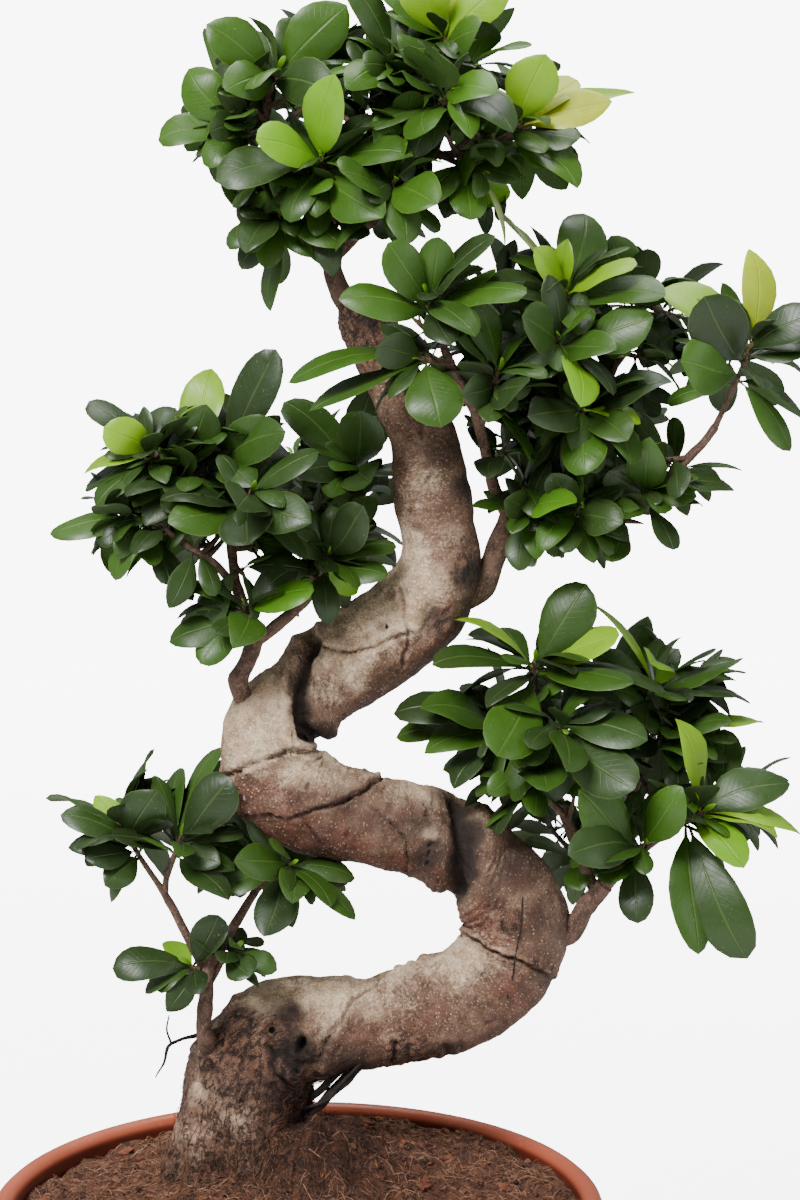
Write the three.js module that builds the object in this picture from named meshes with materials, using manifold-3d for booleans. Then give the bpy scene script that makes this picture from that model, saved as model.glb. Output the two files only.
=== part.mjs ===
// Ficus ginseng bonsai with an S-shaped trunk, standing in a round moulded plastic pot of soil.
// Millimetres, +Z up. The origin is the middle of the pot's flat underside, and the tree is seen from -Y.
// Pot, soil and trunk are single solids. Each graft is a stem with its arms, and each leafy shoot is a
// twig with its leaves, so every piece is one closed body.

import * as THREE from 'three';
import { mergeVertices } from 'three/addons/utils/BufferGeometryUtils.js';
import Module from 'manifold-3d';

const wasm = await Module();
wasm.setup();

// Pot: its rim is 270 mm across.
const RIM_RADIUS = 135;
const POT_HEIGHT = 205;
const BASE_RADIUS = 98;
const SHOULDER_HEIGHT = 158;
const SHOULDER_RADIUS = 121;
const BAND_RADIUS = 130;
const WALL = 3;
const FLOOR = 4;
const LIP = 9;
const DRAIN_HOLES = 8;
const DRAIN_RADIUS = 6;
const DRAIN_RING = 72;
const ROUND_SEGMENTS = 32;

// Soil: its level lies under the rim, with a mound of fibre against the trunk's foot.
const SOIL_LEVEL = 196;
const SOIL_RINGS = [112, 88, 66, 46, 26];
const MOUND = { x: 6, y: 30, height: 33, spread: 19 };
const RISE = { x: -20, y: 40, height: 7, spread: 52 };

// Pieces that touch keep this gap.
const GAP = 0.3;

// Leaves
const LEAF_THICKNESS = 1;
const LEAF_ARCH = 0.09;
const LEAF_STATIONS = [0, 0.44, 0.82, 1];
const LEAF_WIDTHS = [0, 0.9, 0.8, 0];
const LEAF_SLIMNESS = 0.44;
const GOLDEN_ANGLE = THREE.MathUtils.degToRad(137.5);
const TWIG_RADII = [1.5, 0.9];
const SPRAY_LEAVES = 5;

// A leaf that would touch another piece is tried again with its tip moved this far back, in turn. The
// outer part of a leaf, which may cross no other leaf of its shoot, starts at this share of its length.
const NUDGES = [0, 6, -6, 12, -12, 20, -20];
const FREE_FROM = 0.3;

// Every point of the plant is written [x, z, depth]. x and z are where it is seen on the upright plane
// through the trunk, and depth is how far back it lies, so it is moved along its line of sight.
const EYE = new THREE.Vector3(45, -1200, 648);
const TRUNK_DEPTH = 45;

// The stems and twigs reach this many times as far in front of and behind the trunk as their depths say.
const DEPTH_SPREAD = 1.32;

// Trunk: [x, z, depth, radius] up its middle line.
const TRUNK_LINE = [
  [-28, 168, 50, 33], [-28, 196, 50, 32.5], [-27, 225, 48, 29.5], [-22, 249, 46, 28.5],
  [-8, 266, 45, 24.5], [12, 269, 45, 22], [35, 272, 45, 20], [55, 277, 45, 22],
  [78, 286, 46, 23], [93, 302, 47, 23.5], [98, 318, 47, 23.5], [92, 333, 48, 22],
  [82, 344, 49, 20], [72, 352, 48, 21.5], [50, 361, 45, 20], [29, 366, 42, 20],
  [8, 372, 38, 22], [-9, 381, 35, 21.5], [-14, 397, 36, 21], [-12, 411, 43, 20],
  [0, 420, 50, 20], [13, 431, 54, 20], [30, 442, 52, 20.5], [45, 453, 50, 21],
  [57, 466, 48, 21], [62, 481, 47, 19], [61, 500, 46, 17], [59, 520, 45, 16.5],
  [54, 540, 45, 14], [45, 558, 45, 13.2], [36, 576, 46, 13.5], [28, 591, 46, 12], [24, 599, 46, 6],
];
const TRUNK_SIDES = 12;

// Thin roots that bridge from the trunk's foot to its underside.
const ROOTS = [
  [[0, 232, 38, 2], [10, 241, 33, 1.7], [24, 254, 36, 1.8]],
  [[2, 226, 36, 2], [15, 238, 30, 1.8], [32, 255, 35, 1.8]],
];

// Grafted stems: each is a list of arms, and an arm is [x, z, depth, radius] along its line.
const STEMS = {
  foot: [
    [[-40, 250, 38, 3.6], [-44, 266, 29, 3.8], [-43, 285, 28, 3.3], [-42, 307, 29, 3]],
    [[-43, 294, 28, 2.2], [-50, 309, 29, 2], [-59, 327, 31, 1.9], [-63, 334, 31, 1.6]],
    [[-61, 331, 31, 1.5], [-60, 340, 31, 1.3]],
    [[-42, 296, 29, 2.3], [-32, 313, 31, 2.2], [-22, 329, 34, 1.9], [-17, 336, 35, 1.7], [-11, 341, 38, 1.4]],
    [[-19, 333, 35, 1.6], [-22, 344, 40, 1.4]],
    [[-42, 288, 29, 1.6], [-36, 299, 30, 1.4]],
  ],
  middle: [
    [[-18, 412, 40, 4.6], [-27, 426, 34, 4.4], [-23, 437, 32, 3.7], [-19, 447, 32, 3.4]],
    [[-19, 446, 32, 2.9], [-8, 455, 34, 2.6], [2, 464, 38, 2.4], [9, 473, 42, 2.2], [14, 486, 48, 2],
      [19, 500, 56, 1.8], [23, 512, 58, 1.6]],
    [[-19, 446, 32, 2.6], [-24, 461, 30, 2.4], [-28, 474, 30, 2.3], [-30, 490, 33, 2],
      [-33, 508, 38, 1.8], [-33, 517, 38, 1.5]],
    [[-26, 468, 30, 2], [-36, 480, 28, 1.8], [-46, 487, 27, 1.7], [-56, 494, 28, 1.5]],
    [[-30, 490, 33, 1.8], [-40, 503, 36, 1.7], [-50, 515, 37, 1.6], [-57, 524, 34, 1.4]],
  ],
  lower: [
    [[102, 308, 48, 6.5], [121, 313, 46, 5.4], [129, 325, 43, 4.6], [137, 335, 41, 4]],
    [[134, 331, 42, 3], [127, 346, 48, 2.7], [121, 362, 51, 2.5], [114, 380, 50, 2.3],
      [109, 400, 46, 2.1], [107, 412, 44, 2], [105, 424, 40, 1.7]],
    [[135, 333, 42, 3], [145, 358, 55, 2.7], [151, 384, 58, 2.4], [154, 402, 57, 2], [156, 412, 55, 1.6]],
    [[136, 333, 42, 3], [148, 346, 39, 2.6], [160, 356, 36, 2.2], [168, 361, 34, 1.8]],
  ],
  upper: [
    [[64, 463, 47, 7], [80, 470, 47, 6.6], [86, 482, 46, 5.3], [90, 494, 45, 4.7], [94, 504, 44, 4]],
    [[93, 502, 44, 3.1], [87, 514, 40, 2.8], [84, 526, 36, 2.6], [79, 545, 30, 2.4],
      [74, 556, 26, 2.2], [67, 570, 24, 2], [61, 584, 21, 1.7]],
    [[94, 502, 44, 3.1], [106, 519, 46, 2.8], [112, 533, 49, 2.6], [117, 547, 51, 2.4],
      [115, 564, 51, 2.2], [117, 580, 50, 1.9], [118, 590, 49, 1.6]],
    [[94, 502, 44, 3], [106, 500, 43, 2.7], [119, 499, 42, 2.6], [142, 503, 42, 2.4], [152, 507, 41, 2.3],
      [162, 518, 40, 2.2], [177, 533, 38, 2], [184, 542, 38, 1.8]],
    [[116, 541, 50, 2], [127, 552, 55, 1.8], [137, 563, 60, 1.7], [142, 577, 63, 1.5]],
    [[106, 519, 46, 2], [103, 540, 66, 1.8], [100, 562, 80, 1.5]],
  ],
  crown: [
    [[32, 582, 46, 6], [22, 596, 46, 5], [16, 608, 45, 4.4], [15, 617, 45, 4]],
    [[15, 615, 45, 2.4], [3, 621, 45, 2.2], [-5, 629, 45, 2], [-10, 645, 45, 1.9],
      [-13, 661, 45, 1.8], [-13, 678, 44, 1.6], [-12, 686, 44, 1.4]],
    [[15, 615, 45, 3.2], [27, 627, 45, 2.9], [36, 636, 45, 2.7], [45, 651, 46, 2.4],
      [52, 665, 47, 2.2], [58, 684, 46, 1.9], [62, 698, 45, 1.6]],
    [[40, 643, 45, 2], [43, 664, 42, 1.8], [43, 688, 44, 1.5]],
    [[18, 619, 45, 1.9], [15, 636, 40, 1.7], [13, 648, 37, 1.5]],
    [[49, 659, 47, 2], [63, 660, 46, 1.8], [78, 661, 45, 1.8], [88, 666, 44, 1.5]],
    [[36, 636, 45, 2], [30, 654, 66, 1.8], [24, 674, 84, 1.5]],
    [[52, 665, 47, 2], [60, 675, 68, 1.8], [66, 688, 84, 1.5]],
  ],
};
const ARM_SIDES = 5;

// Leafy shoots. "on" is the stem that a shoot grows from. Its twig runs from the stem, near "from", to
// "to". "seen" are the leaves that show plainly: [x, z, depth] of the tip, the width, and how far the
// blade faces forwards (0 faces up, 1 forwards). "fill" is how many leaves of length "size" stand
// around the twig between those. "sprays" are the ends of side twigs with SPRAY_LEAVES each.
const SHOOTS = [
  { name: 'foot_left', on: 'foot', from: [-63, 334, 31], to: [-80, 362, 29], fill: 4, size: 33,
    sprays: [[-70, 362, 60]],
    seen: [
    [-88, 335, 12, 15, 0.8], [-86, 327, 30, 6, 0.3], [-96, 347, 12, 13, 0.6], [-104, 353, 20, 10, 0.5],
    [-107, 368, 20, 13, 0.8], [-113, 377, 38, 6, 0.3], [-64, 378, 16, 21, 1], [-62, 384, 46, 16, 1],
    [-66, 398, 44, 8, 0.5], [-92, 376, 42, 11, 0.7]] },
  { name: 'foot_left_inner', on: 'foot', from: [-60, 340, 31], to: [-54, 356, 28], fill: 5, size: 33,
    seen: [
    [-72, 362, 6, 12, 0.6], [-36, 345, 14, 13, 0.8], [-31, 384, 20, 22, 1], [-37, 399, 48, 12, 0.8],
    [-54, 389, 52, 8, 0.3]] },
  { name: 'foot_right', on: 'foot', from: [-11, 341, 38], to: [-5, 344, 31], fill: 3, size: 32, seen: [
    [-36, 331, 24, 10, 0.7], [-40, 340, 38, 8, 0.5], [-3, 328, 4, 10, 0.8], [6, 326, 28, 6, 0.5],
    [14, 325, 10, 10, 0.7], [25, 319, 18, 9, 0.5], [24, 339, 44, 12, 0.7], [-30, 346, 4, 15, 0.8]] },
  { name: 'foot_right_back', on: 'foot', from: [-22, 344, 40], to: [-18, 352, 58], fill: 6, size: 33,
    sprays: [[-34, 362, 80], [-4, 352, 80]],
    seen: [
    [-50, 356, 34, 14, 0.8], [-34, 372, 62, 9, 0.5], [-20, 372, 62, 10, 0.6], [16, 347, 72, 12, 0.6]] },
  { name: 'foot_stump_left', on: 'foot', from: [-43, 292, 28], to: [-49, 297, 25], fill: 1, size: 28,
    seen: [
    [-61, 276, 16, 13, 0.9], [-71, 286, 18, 6, 0.5], [-36, 278, 44, 12, 0.7], [-62, 309, 40, 10, 0.6],
    [-85, 297, 16, 16, 0.7], [-37, 321, 20, 17, 1]] },
  { name: 'foot_stump_right', on: 'foot', from: [-36, 299, 30], to: [-32, 303, 29], fill: 2, size: 24,
    seen: [
    [-23, 292, 6, 14, 1], [-23, 300, 40, 10, 0.6], [-11, 296, 20, 9, 0.5], [-26, 309, 36, 9, 0.6]] },

  { name: 'middle_tip', on: 'middle', from: [-57, 524, 34], to: [-65, 532, 30], fill: 3, size: 30,
    seen: [
    [-90, 508, 16, 10, 0.6], [-94, 513, 32, 9, 0.5], [-95, 523, 28, 6, 0.4], [-92, 553, 38, 12, 0.7],
    [-85, 541, 16, 17, 0.8], [-57, 552, 50, 10, 0.6]] },
  { name: 'middle_low_left', on: 'middle', from: [-56, 494, 28], to: [-76, 503, 27], fill: 5, size: 29,
    seen: [
    [-57, 471, 10, 8, 0.6], [-66, 480, 4, 13, 0.8], [-46, 465, 22, 9, 0.6], [-80, 484, 12, 11, 0.7],
    [-73, 482, 34, 10, 0.6], [-88, 489, 20, 9, 0.7], [-110, 494, 26, 12, 0.6], [-80, 512, 40, 8, 0.6]] },
  { name: 'middle_crest_left', on: 'middle', from: [-47, 511, 37], to: [-50, 526, 34], fill: 5, size: 32,
    seen: [
    [-76, 512, 4, 10, 0.6], [-40, 552, 20, 20, 1], [-38, 568, 50, 17, 1], [-60, 545, 58, 12, 0.6]] },
  { name: 'middle_crest', on: 'middle', from: [-33, 517, 38], to: [-32, 532, 36], fill: 4, size: 34, seen: [
    [-6, 540, 4, 17, 0.8], [-14, 547, 18, 19, 0.9], [-9, 576, 28, 20, 0.9], [-39, 547, 58, 18, 0.9]] },
  { name: 'middle_front', on: 'middle', from: [-30, 493, 33], to: [-21, 513, 12], fill: 3, size: 32, seen: [
    [-56, 501, -4, 12, 0.6], [-60, 512, 12, 8, 0.4], [-22, 489, -14, 24, 1], [-26, 507, -28, 20, 0.6],
    [5, 500, -10, 20, 0.9], [9, 531, 6, 13, 0.7]] },
  { name: 'middle_right_top', on: 'middle', from: [23, 512, 58], to: [26, 524, 54], fill: 4, size: 34,
    seen: [
    [-6, 553, 56, 20, 1], [28, 549, 32, 22, 0.9], [38, 547, 62, 14, 0.8], [33, 517, 16, 17, 0.8],
    [0, 522, 28, 12, 0.5]] },
  { name: 'middle_right_low', on: 'middle', from: [8, 472, 42], to: [13, 484, 32], fill: 4, size: 32,
    seen: [
    [12, 455, 16, 13, 0.9], [26, 468, 46, 12, 0.8], [39, 477, 18, 13, 0.7], [43, 490, 26, 8, 0.4],
    [-3, 495, 10, 10, 0.7], [28, 506, 8, 18, 0.9]] },
  { name: 'middle_low', on: 'middle', from: [-22, 453, 31], to: [-24, 461, 21], fill: 1, size: 32, seen: [
    [-44, 436, 10, 14, 0.9], [-28, 445, -8, 18, 1], [-58, 447, 12, 15, 0.8], [6, 470, 8, 14, 0.6],
    [-46, 464, 34, 13, 0.7], [-1, 480, 26, 12, 0.6]] },
  { name: 'middle_back', on: 'middle', from: [-36, 500, 36], to: [-40, 510, 66], fill: 6, size: 34,
    sprays: [[-60, 506, 82], [-32, 528, 90]],
    seen: [] },
  { name: 'middle_right_back', on: 'middle', from: [17, 495, 54], to: [12, 510, 82], fill: 6, size: 34,
    sprays: [[26, 500, 98], [-2, 528, 96]],
    seen: [] },

  { name: 'lower_crest', on: 'lower', from: [105, 424, 40], to: [105, 436, 34], fill: 2, size: 38, seen: [
    [88, 394, -10, 26, 0.9], [149, 427, 0, 12, 0.6], [164, 425, 18, 9, 0.5], [60, 438, 22, 11, 0.6],
    [70, 457, 40, 6, 0.5], [143, 449, 20, 9, 0.7], [128, 472, 34, 24, 1], [138, 444, 42, 8, 0.4]] },
  { name: 'lower_left', on: 'lower', from: [108, 406, 45], to: [90, 405, 40], fill: 3, size: 36, seen: [
    [64, 388, 44, 9, 0.6], [56, 398, 28, 14, 0.8], [68, 381, 26, 10, 0.6], [43, 404, 46, 10, 0.6],
    [43, 416, 34, 12, 0.5], [56, 418, 16, 13, 0.7]] },
  { name: 'lower_left_under', on: 'lower', from: [119, 367, 51], to: [98, 391, 34], fill: 4, size: 31,
    seen: [
    [82, 361, 42, 6, 0.4], [105, 367, 10, 15, 0.9], [111, 379, -6, 18, 0.9], [85, 377, 22, 11, 0.7]] },
  { name: 'lower_front', on: 'lower', from: [107, 412, 44], to: [117, 406, 22], fill: 4, size: 35, seen: [
    [150, 379, -10, 24, 1], [156, 401, -2, 14, 0.6], [121, 389, -16, 16, 0.9]] },
  { name: 'lower_top_right', on: 'lower', from: [156, 412, 55], to: [159, 426, 50], fill: 4, size: 34,
    sprays: [[176, 426, 76]],
    seen: [
    [195, 431, 62, 10, 0.4], [196, 421, 34, 9, 0.5], [198, 439, 42, 10, 0.5], [130, 463, 48, 6, 0.6],
    [158, 438, 18, 9, 0.7]] },
  { name: 'lower_right_spray', on: 'lower', from: [153, 396, 57], to: [166, 404, 48], fill: 3, size: 32,
    seen: [
    [179, 391, 16, 12, 0.7], [192, 392, 46, 6, 0.5], [196, 400, 38, 6, 0.4], [191, 404, 62, 7, 0.4],
    [192, 412, 28, 8, 0.5], [208, 410, 50, 6, 0.4]] },
  { name: 'lower_back', on: 'lower', from: [150, 380, 58], to: [142, 412, 86], fill: 6, size: 36,
    sprays: [[164, 404, 98], [122, 426, 100]],
    seen: [
    [155, 458, 92, 12, 0.5], [168, 444, 82, 12, 0.7]] },
  { name: 'lower_outer', on: 'lower', from: [166, 360, 34], to: [180, 368, 30], fill: 2, size: 34,
    sprays: [[196, 376, 58]],
    seen: [
    [181, 303, 2, 20, 0.9], [201, 301, 4, 24, 0.9], [196, 353, 42, 9, 0.6], [200, 343, 2, 13, 0.6],
    [215, 358, 8, 8, 0.5], [220, 382, 32, 19, 0.8], [226, 357, 24, 10, 0.6], [171, 411, 24, 9, 0.9]] },
  { name: 'lower_inner', on: 'lower', from: [146, 344, 39], to: [154, 353, 20], fill: 3, size: 34, seen: [
    [139, 337, 2, 13, 0.8], [123, 350, -10, 19, 0.9], [127, 378, -4, 23, 0.9], [170, 379, 2, 18, 0.9]] },
  { name: 'lower_fork', on: 'lower', from: [129, 342, 46], to: [126, 348, 58], fill: 6, size: 28,
    sprays: [[112, 362, 82]],
    seen: [
    [126, 333, 34, 12, 0.7]] },

  { name: 'upper_front', on: 'upper', from: [61, 584, 21], to: [57, 598, 13], fill: 2, size: 34, seen: [
    [20, 600, -8, 14, 0.6], [100, 601, -6, 14, 0.6], [40, 622, -2, 16, 0.8], [62, 625, 4, 16, 0.7],
    [87, 625, 2, 13, 0.7], [78, 582, -16, 15, 0.8]] },
  { name: 'upper_front_low', on: 'upper', from: [67, 570, 24], to: [54, 572, 11], fill: 2, size: 30, seen: [
    [33, 548, 16, 6, 0.6], [5, 549, 6, 6, 0.5], [-4, 561, 12, 6, 0.5], [63, 543, -10, 25, 1],
    [35, 578, -8, 17, 0.9]] },
  { name: 'upper_inner', on: 'upper', from: [80, 541, 31], to: [88, 566, 12], fill: 6, size: 32, seen: [
    [100, 560, -14, 14, 0.8], [72, 556, -8, 15, 0.8], [76, 600, 0, 15, 0.8]] },
  { name: 'upper_crest', on: 'upper', from: [118, 590, 49], to: [118, 601, 44], fill: 2, size: 34, seen: [
    [161, 600, 18, 14, 0.6], [83, 603, 14, 11, 0.5], [97, 620, 68, 18, 0.9], [126, 636, 72, 24, 1],
    [87, 635, 42, 5, 0.5], [148, 614, 28, 10, 0.6], [105, 620, 26, 9, 0.7], [118, 624, 38, 9, 1]] },
  { name: 'upper_crest_right', on: 'upper', from: [142, 577, 63], to: [150, 599, 70], fill: 6, size: 33,
    sprays: [[168, 590, 90]],
    seen: [
    [164, 574, 60, 12, 0.7], [137, 625, 62, 19, 0.9]] },
  { name: 'upper_centre', on: 'upper', from: [115, 566, 51], to: [114, 580, 26], fill: 4, size: 33, seen: [
    [92, 562, 4, 13, 0.8], [156, 590, 22, 18, 0.9], [139, 577, 4, 11, 0.8], [126, 553, -2, 6, 0.8],
    [100, 590, -6, 15, 0.8]] },
  { name: 'upper_right_front', on: 'upper', from: [124, 549, 54], to: [126, 549, 26], fill: 3, size: 32,
    seen: [
    [148, 528, 8, 14, 0.8], [163, 564, 20, 15, 0.8], [145, 537, 4, 14, 0.8], [102, 547, 2, 15, 0.9],
    [126, 523, 0, 20, 1], [151, 544, 22, 6, 0.6]] },
  { name: 'upper_low', on: 'upper', from: [105, 500, 43], to: [101, 505, 32], fill: 3, size: 28, seen: [
    [99, 479, 60, 14, 0.8], [118, 491, 26, 10, 0.7], [91, 509, 10, 14, 0.8], [123, 508, 4, 13, 0.9]] },
  { name: 'upper_low_right', on: 'upper', from: [122, 499, 42], to: [124, 505, 31], fill: 5, size: 29,
    seen: [
    [131, 481, 24, 10, 0.8], [147, 492, 30, 10, 0.7], [142, 500, 4, 17, 0.9], [112, 521, 4, 14, 0.9]] },
  { name: 'upper_right_mid', on: 'upper', from: [151, 507, 41], to: [153, 513, 34], fill: 4, size: 30,
    seen: [
    [176, 511, 24, 11, 0.7], [137, 522, 12, 16, 0.9], [155, 537, 16, 18, 0.9], [193, 516, 38, 7, 0.4]] },
  { name: 'upper_outer', on: 'upper', from: [183, 541, 38], to: [200, 580, 35], fill: 3, size: 33,
    sprays: [[190, 572, 66]],
    seen: [
    [162, 553, 40, 8, 0.6], [217, 531, 26, 12, 0.6], [169, 571, 12, 25, 1], [222, 546, 46, 9, 0.5],
    [178, 599, 10, 26, 1], [226, 575, 30, 10, 0.6], [229, 592, 22, 15, 0.8], [160, 603, 50, 15, 0.6],
    [199, 620, 42, 18, 1]] },
  { name: 'upper_outer_low', on: 'upper', from: [163, 519, 40], to: [166, 524, 52], fill: 6, size: 27,
    seen: [] },
  { name: 'upper_back_left', on: 'upper', from: [100, 562, 80], to: [90, 584, 88], fill: 6, size: 35,
    sprays: [[68, 574, 100], [92, 600, 106]],
    seen: [] },
  { name: 'upper_back_low', on: 'upper', from: [103, 540, 66], to: [118, 548, 86], fill: 6, size: 33,
    sprays: [[142, 540, 100], [104, 534, 104]],
    seen: [] },

  { name: 'crown_left', on: 'crown', from: [-12, 666, 45], to: [-27, 673, 41], fill: 4, size: 33,
    sprays: [[-28, 684, 70]],
    seen: [
    [-38, 656, 22, 12, 0.8], [-60, 668, 38, 16, 0.8], [-36, 671, 14, 14, 0.8], [-47, 697, 44, 21, 0.9]] },
  { name: 'crown_left_top', on: 'crown', from: [-12, 686, 44], to: [-8, 695, 40], fill: 4, size: 34, seen: [
    [15, 688, 6, 21, 0.9], [-29, 689, 8, 18, 0.9], [-38, 716, 30, 21, 1], [22, 724, 38, 24, 1],
    [3, 714, 50, 8, 0.6]] },
  { name: 'crown_left_front', on: 'crown', from: [13, 648, 37], to: [11, 657, 27], fill: 2, size: 34,
    seen: [
    [37, 634, -4, 22, 0.9], [-34, 651, 8, 12, 0.5], [50, 661, 8, 11, 0.5], [-17, 667, -4, 14, 0.6],
    [16, 694, 8, 16, 0.7]] },
  { name: 'crown_left_low', on: 'crown', from: [-5, 629, 45], to: [-7, 633, 35], fill: 3, size: 30, seen: [
    [-14, 593, 32, 10, 1], [-25, 612, 40, 11, 0.9], [6, 617, 24, 13, 0.8], [20, 621, 18, 13, 0.9],
    [-22, 619, 6, 10, 0.5], [-22, 639, 32, 16, 0.8]] },
  { name: 'crown_top', on: 'crown', from: [62, 698, 45], to: [64, 710, 42], fill: 2, size: 34, seen: [
    [77, 714, 8, 14, 0.7], [46, 706, 8, 12, 0.6], [91, 734, 38, 18, 0.8], [36, 733, 38, 14, 0.8],
    [68, 743, 48, 18, 0.8], [52, 739, 30, 22, 0.9]] },
  { name: 'crown_front', on: 'crown', from: [55, 674, 47], to: [66, 686, 22], fill: 5, size: 34, seen: [
    [55, 671, -6, 14, 0.6], [94, 672, 2, 15, 0.8], [86, 688, -4, 15, 0.7], [60, 705, -6, 14, 0.6]] },
  { name: 'crown_right', on: 'crown', from: [88, 666, 44], to: [97, 673, 41], fill: 1, size: 32,
    sprays: [[98, 666, 70]],
    seen: [
    [123, 648, 18, 15, 0.7], [123, 656, 38, 9, 0.6], [123, 667, 26, 9, 0.5], [108, 703, 28, 23, 1],
    [122, 692, 52, 12, 0.6], [137, 683, 38, 14, 0.6], [147, 686, 54, 9, 0.4]] },
  { name: 'crown_right_low', on: 'crown', from: [63, 660, 46], to: [78, 654, 36], fill: 4, size: 30, seen: [
    [76, 634, 16, 16, 0.9], [97, 650, 28, 9, 0.6], [90, 638, 54, 14, 0.7], [91, 621, 32, 5, 0.7]] },
  { name: 'crown_centre', on: 'crown', from: [43, 688, 44], to: [42, 700, 38], fill: 4, size: 32, seen: [
    [22, 690, 10, 14, 0.8], [30, 699, 2, 13, 0.7], [25, 733, 32, 13, 0.8], [60, 724, 36, 12, 0.7]] },
  { name: 'crown_inner', on: 'crown', from: [37, 638, 45], to: [42, 648, 20], fill: 6, size: 32, seen: [
    [20, 654, -8, 10, 0.5], [60, 640, -12, 18, 0.9], [48, 622, -2, 14, 0.9]] },
  { name: 'crown_back_left', on: 'crown', from: [24, 674, 84], to: [10, 688, 98], fill: 7, size: 35,
    sprays: [[-8, 672, 102], [12, 702, 106]],
    seen: [] },
  { name: 'crown_back_right', on: 'crown', from: [66, 688, 84], to: [78, 700, 96], fill: 7, size: 35,
    sprays: [[94, 686, 100], [62, 676, 108]],
    seen: [] },
];

// Colours: base colour, roughness
const FINISHES = {
  pot: [0xb4532f, 0.45],
  soil: [0x4a3022, 0.95],
  bark: [0x9a8878, 0.8],
  youngBark: [0x6f4e3c, 0.75],
  leaf: [0x2f5a1c, 0.35],
};

function place([x, z, depth]) {
  const onPlane = new THREE.Vector3(x, TRUNK_DEPTH, z);
  const stretch = (depth - EYE.y) / (TRUNK_DEPTH - EYE.y);
  return onPlane.sub(EYE).multiplyScalar(stretch).add(EYE);
}

function placeSpread([x, z, depth]) {
  return place([x, z, TRUNK_DEPTH + DEPTH_SPREAD * (depth - TRUNK_DEPTH)]);
}

// A closed geometry as a solid, with its faces turned outwards
function solidOf(geometry) {
  geometry.deleteAttribute('normal');
  geometry.deleteAttribute('uv');
  const merged = mergeVertices(geometry, 1e-4);
  const vertProperties = new Float32Array(merged.attributes.position.array);
  const corners = merged.index.array;
  const kept = [];
  for (let i = 0; i < corners.length; i += 3) {
    const face = [corners[i], corners[i + 1], corners[i + 2]];
    if (new Set(face).size === 3) kept.push(...face);
  }
  const point = (i) => new THREE.Vector3().fromArray(vertProperties, 3 * i);
  let volume = 0;
  for (let i = 0; i < kept.length; i += 3) {
    volume += point(kept[i]).dot(point(kept[i + 1]).cross(point(kept[i + 2])));
  }
  if (volume < 0) kept.reverse();
  const triVerts = Uint32Array.from(kept);
  return new wasm.Manifold(new wasm.Mesh({ numProp: 3, vertProperties, triVerts }));
}

function geometryOf(solid) {
  const { vertProperties, triVerts, numProp } = solid.getMesh();
  const position = new Float32Array((vertProperties.length / numProp) * 3);
  for (let i = 0; i < position.length / 3; i += 1) {
    position.set(vertProperties.subarray(i * numProp, i * numProp + 3), i * 3);
  }
  const geometry = new THREE.BufferGeometry();
  geometry.setAttribute('position', new THREE.BufferAttribute(position, 3));
  geometry.setIndex(new THREE.BufferAttribute(Uint32Array.from(triVerts), 1));
  return geometry;
}

function meshOf(name, solid, finish) {
  const geometry = geometryOf(solid);
  geometry.computeVertexNormals();
  const [color, roughness] = FINISHES[finish];
  const mesh = new THREE.Mesh(geometry, new THREE.MeshStandardMaterial({ color, roughness, metalness: 0 }));
  mesh.name = name;
  return mesh;
}

// A round bar that follows a line of [x, z, depth, radius] points, with extra radius all round. "placed"
// turns each of them into its place.
function bar(line, sides, stepsEach, extra = 0, placed = place) {
  const curve = new THREE.CatmullRomCurve3(line.map(placed), false, 'catmullrom', 0.5);
  const steps = stepsEach * (line.length - 1);
  const radiusAt = (t) => {
    const along = t * (line.length - 1);
    const index = Math.min(Math.floor(along), line.length - 2);
    return THREE.MathUtils.lerp(line[index][3], line[index + 1][3], along - index) + extra;
  };
  const rings = [];
  let across = new THREE.Vector3(0, -1, 0);
  for (let i = 0; i <= steps; i += 1) {
    const ahead = curve.getTangent(i / steps);
    across = across.clone().addScaledVector(ahead, -across.dot(ahead)).normalize();
    const beside = new THREE.Vector3().crossVectors(across, ahead);
    rings.push({ centre: curve.getPoint(i / steps), across, beside, radius: radiusAt(i / steps) });
  }
  rings[0].centre.addScaledVector(curve.getTangent(0), -extra);
  rings[steps].centre.addScaledVector(curve.getTangent(1), extra);
  const geometry = new THREE.CylinderGeometry(1, 1, 1, sides, steps);
  const position = geometry.attributes.position;
  const corner = new THREE.Vector3();
  for (let i = 0; i < position.count; i += 1) {
    corner.fromBufferAttribute(position, i);
    const ring = rings[Math.round((corner.y + 0.5) * steps)];
    const moved = ring.centre.clone()
      .addScaledVector(ring.across, corner.x * ring.radius)
      .addScaledVector(ring.beside, corner.z * ring.radius);
    position.setXYZ(i, moved.x, moved.y, moved.z);
  }
  return solidOf(geometry);
}

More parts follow.
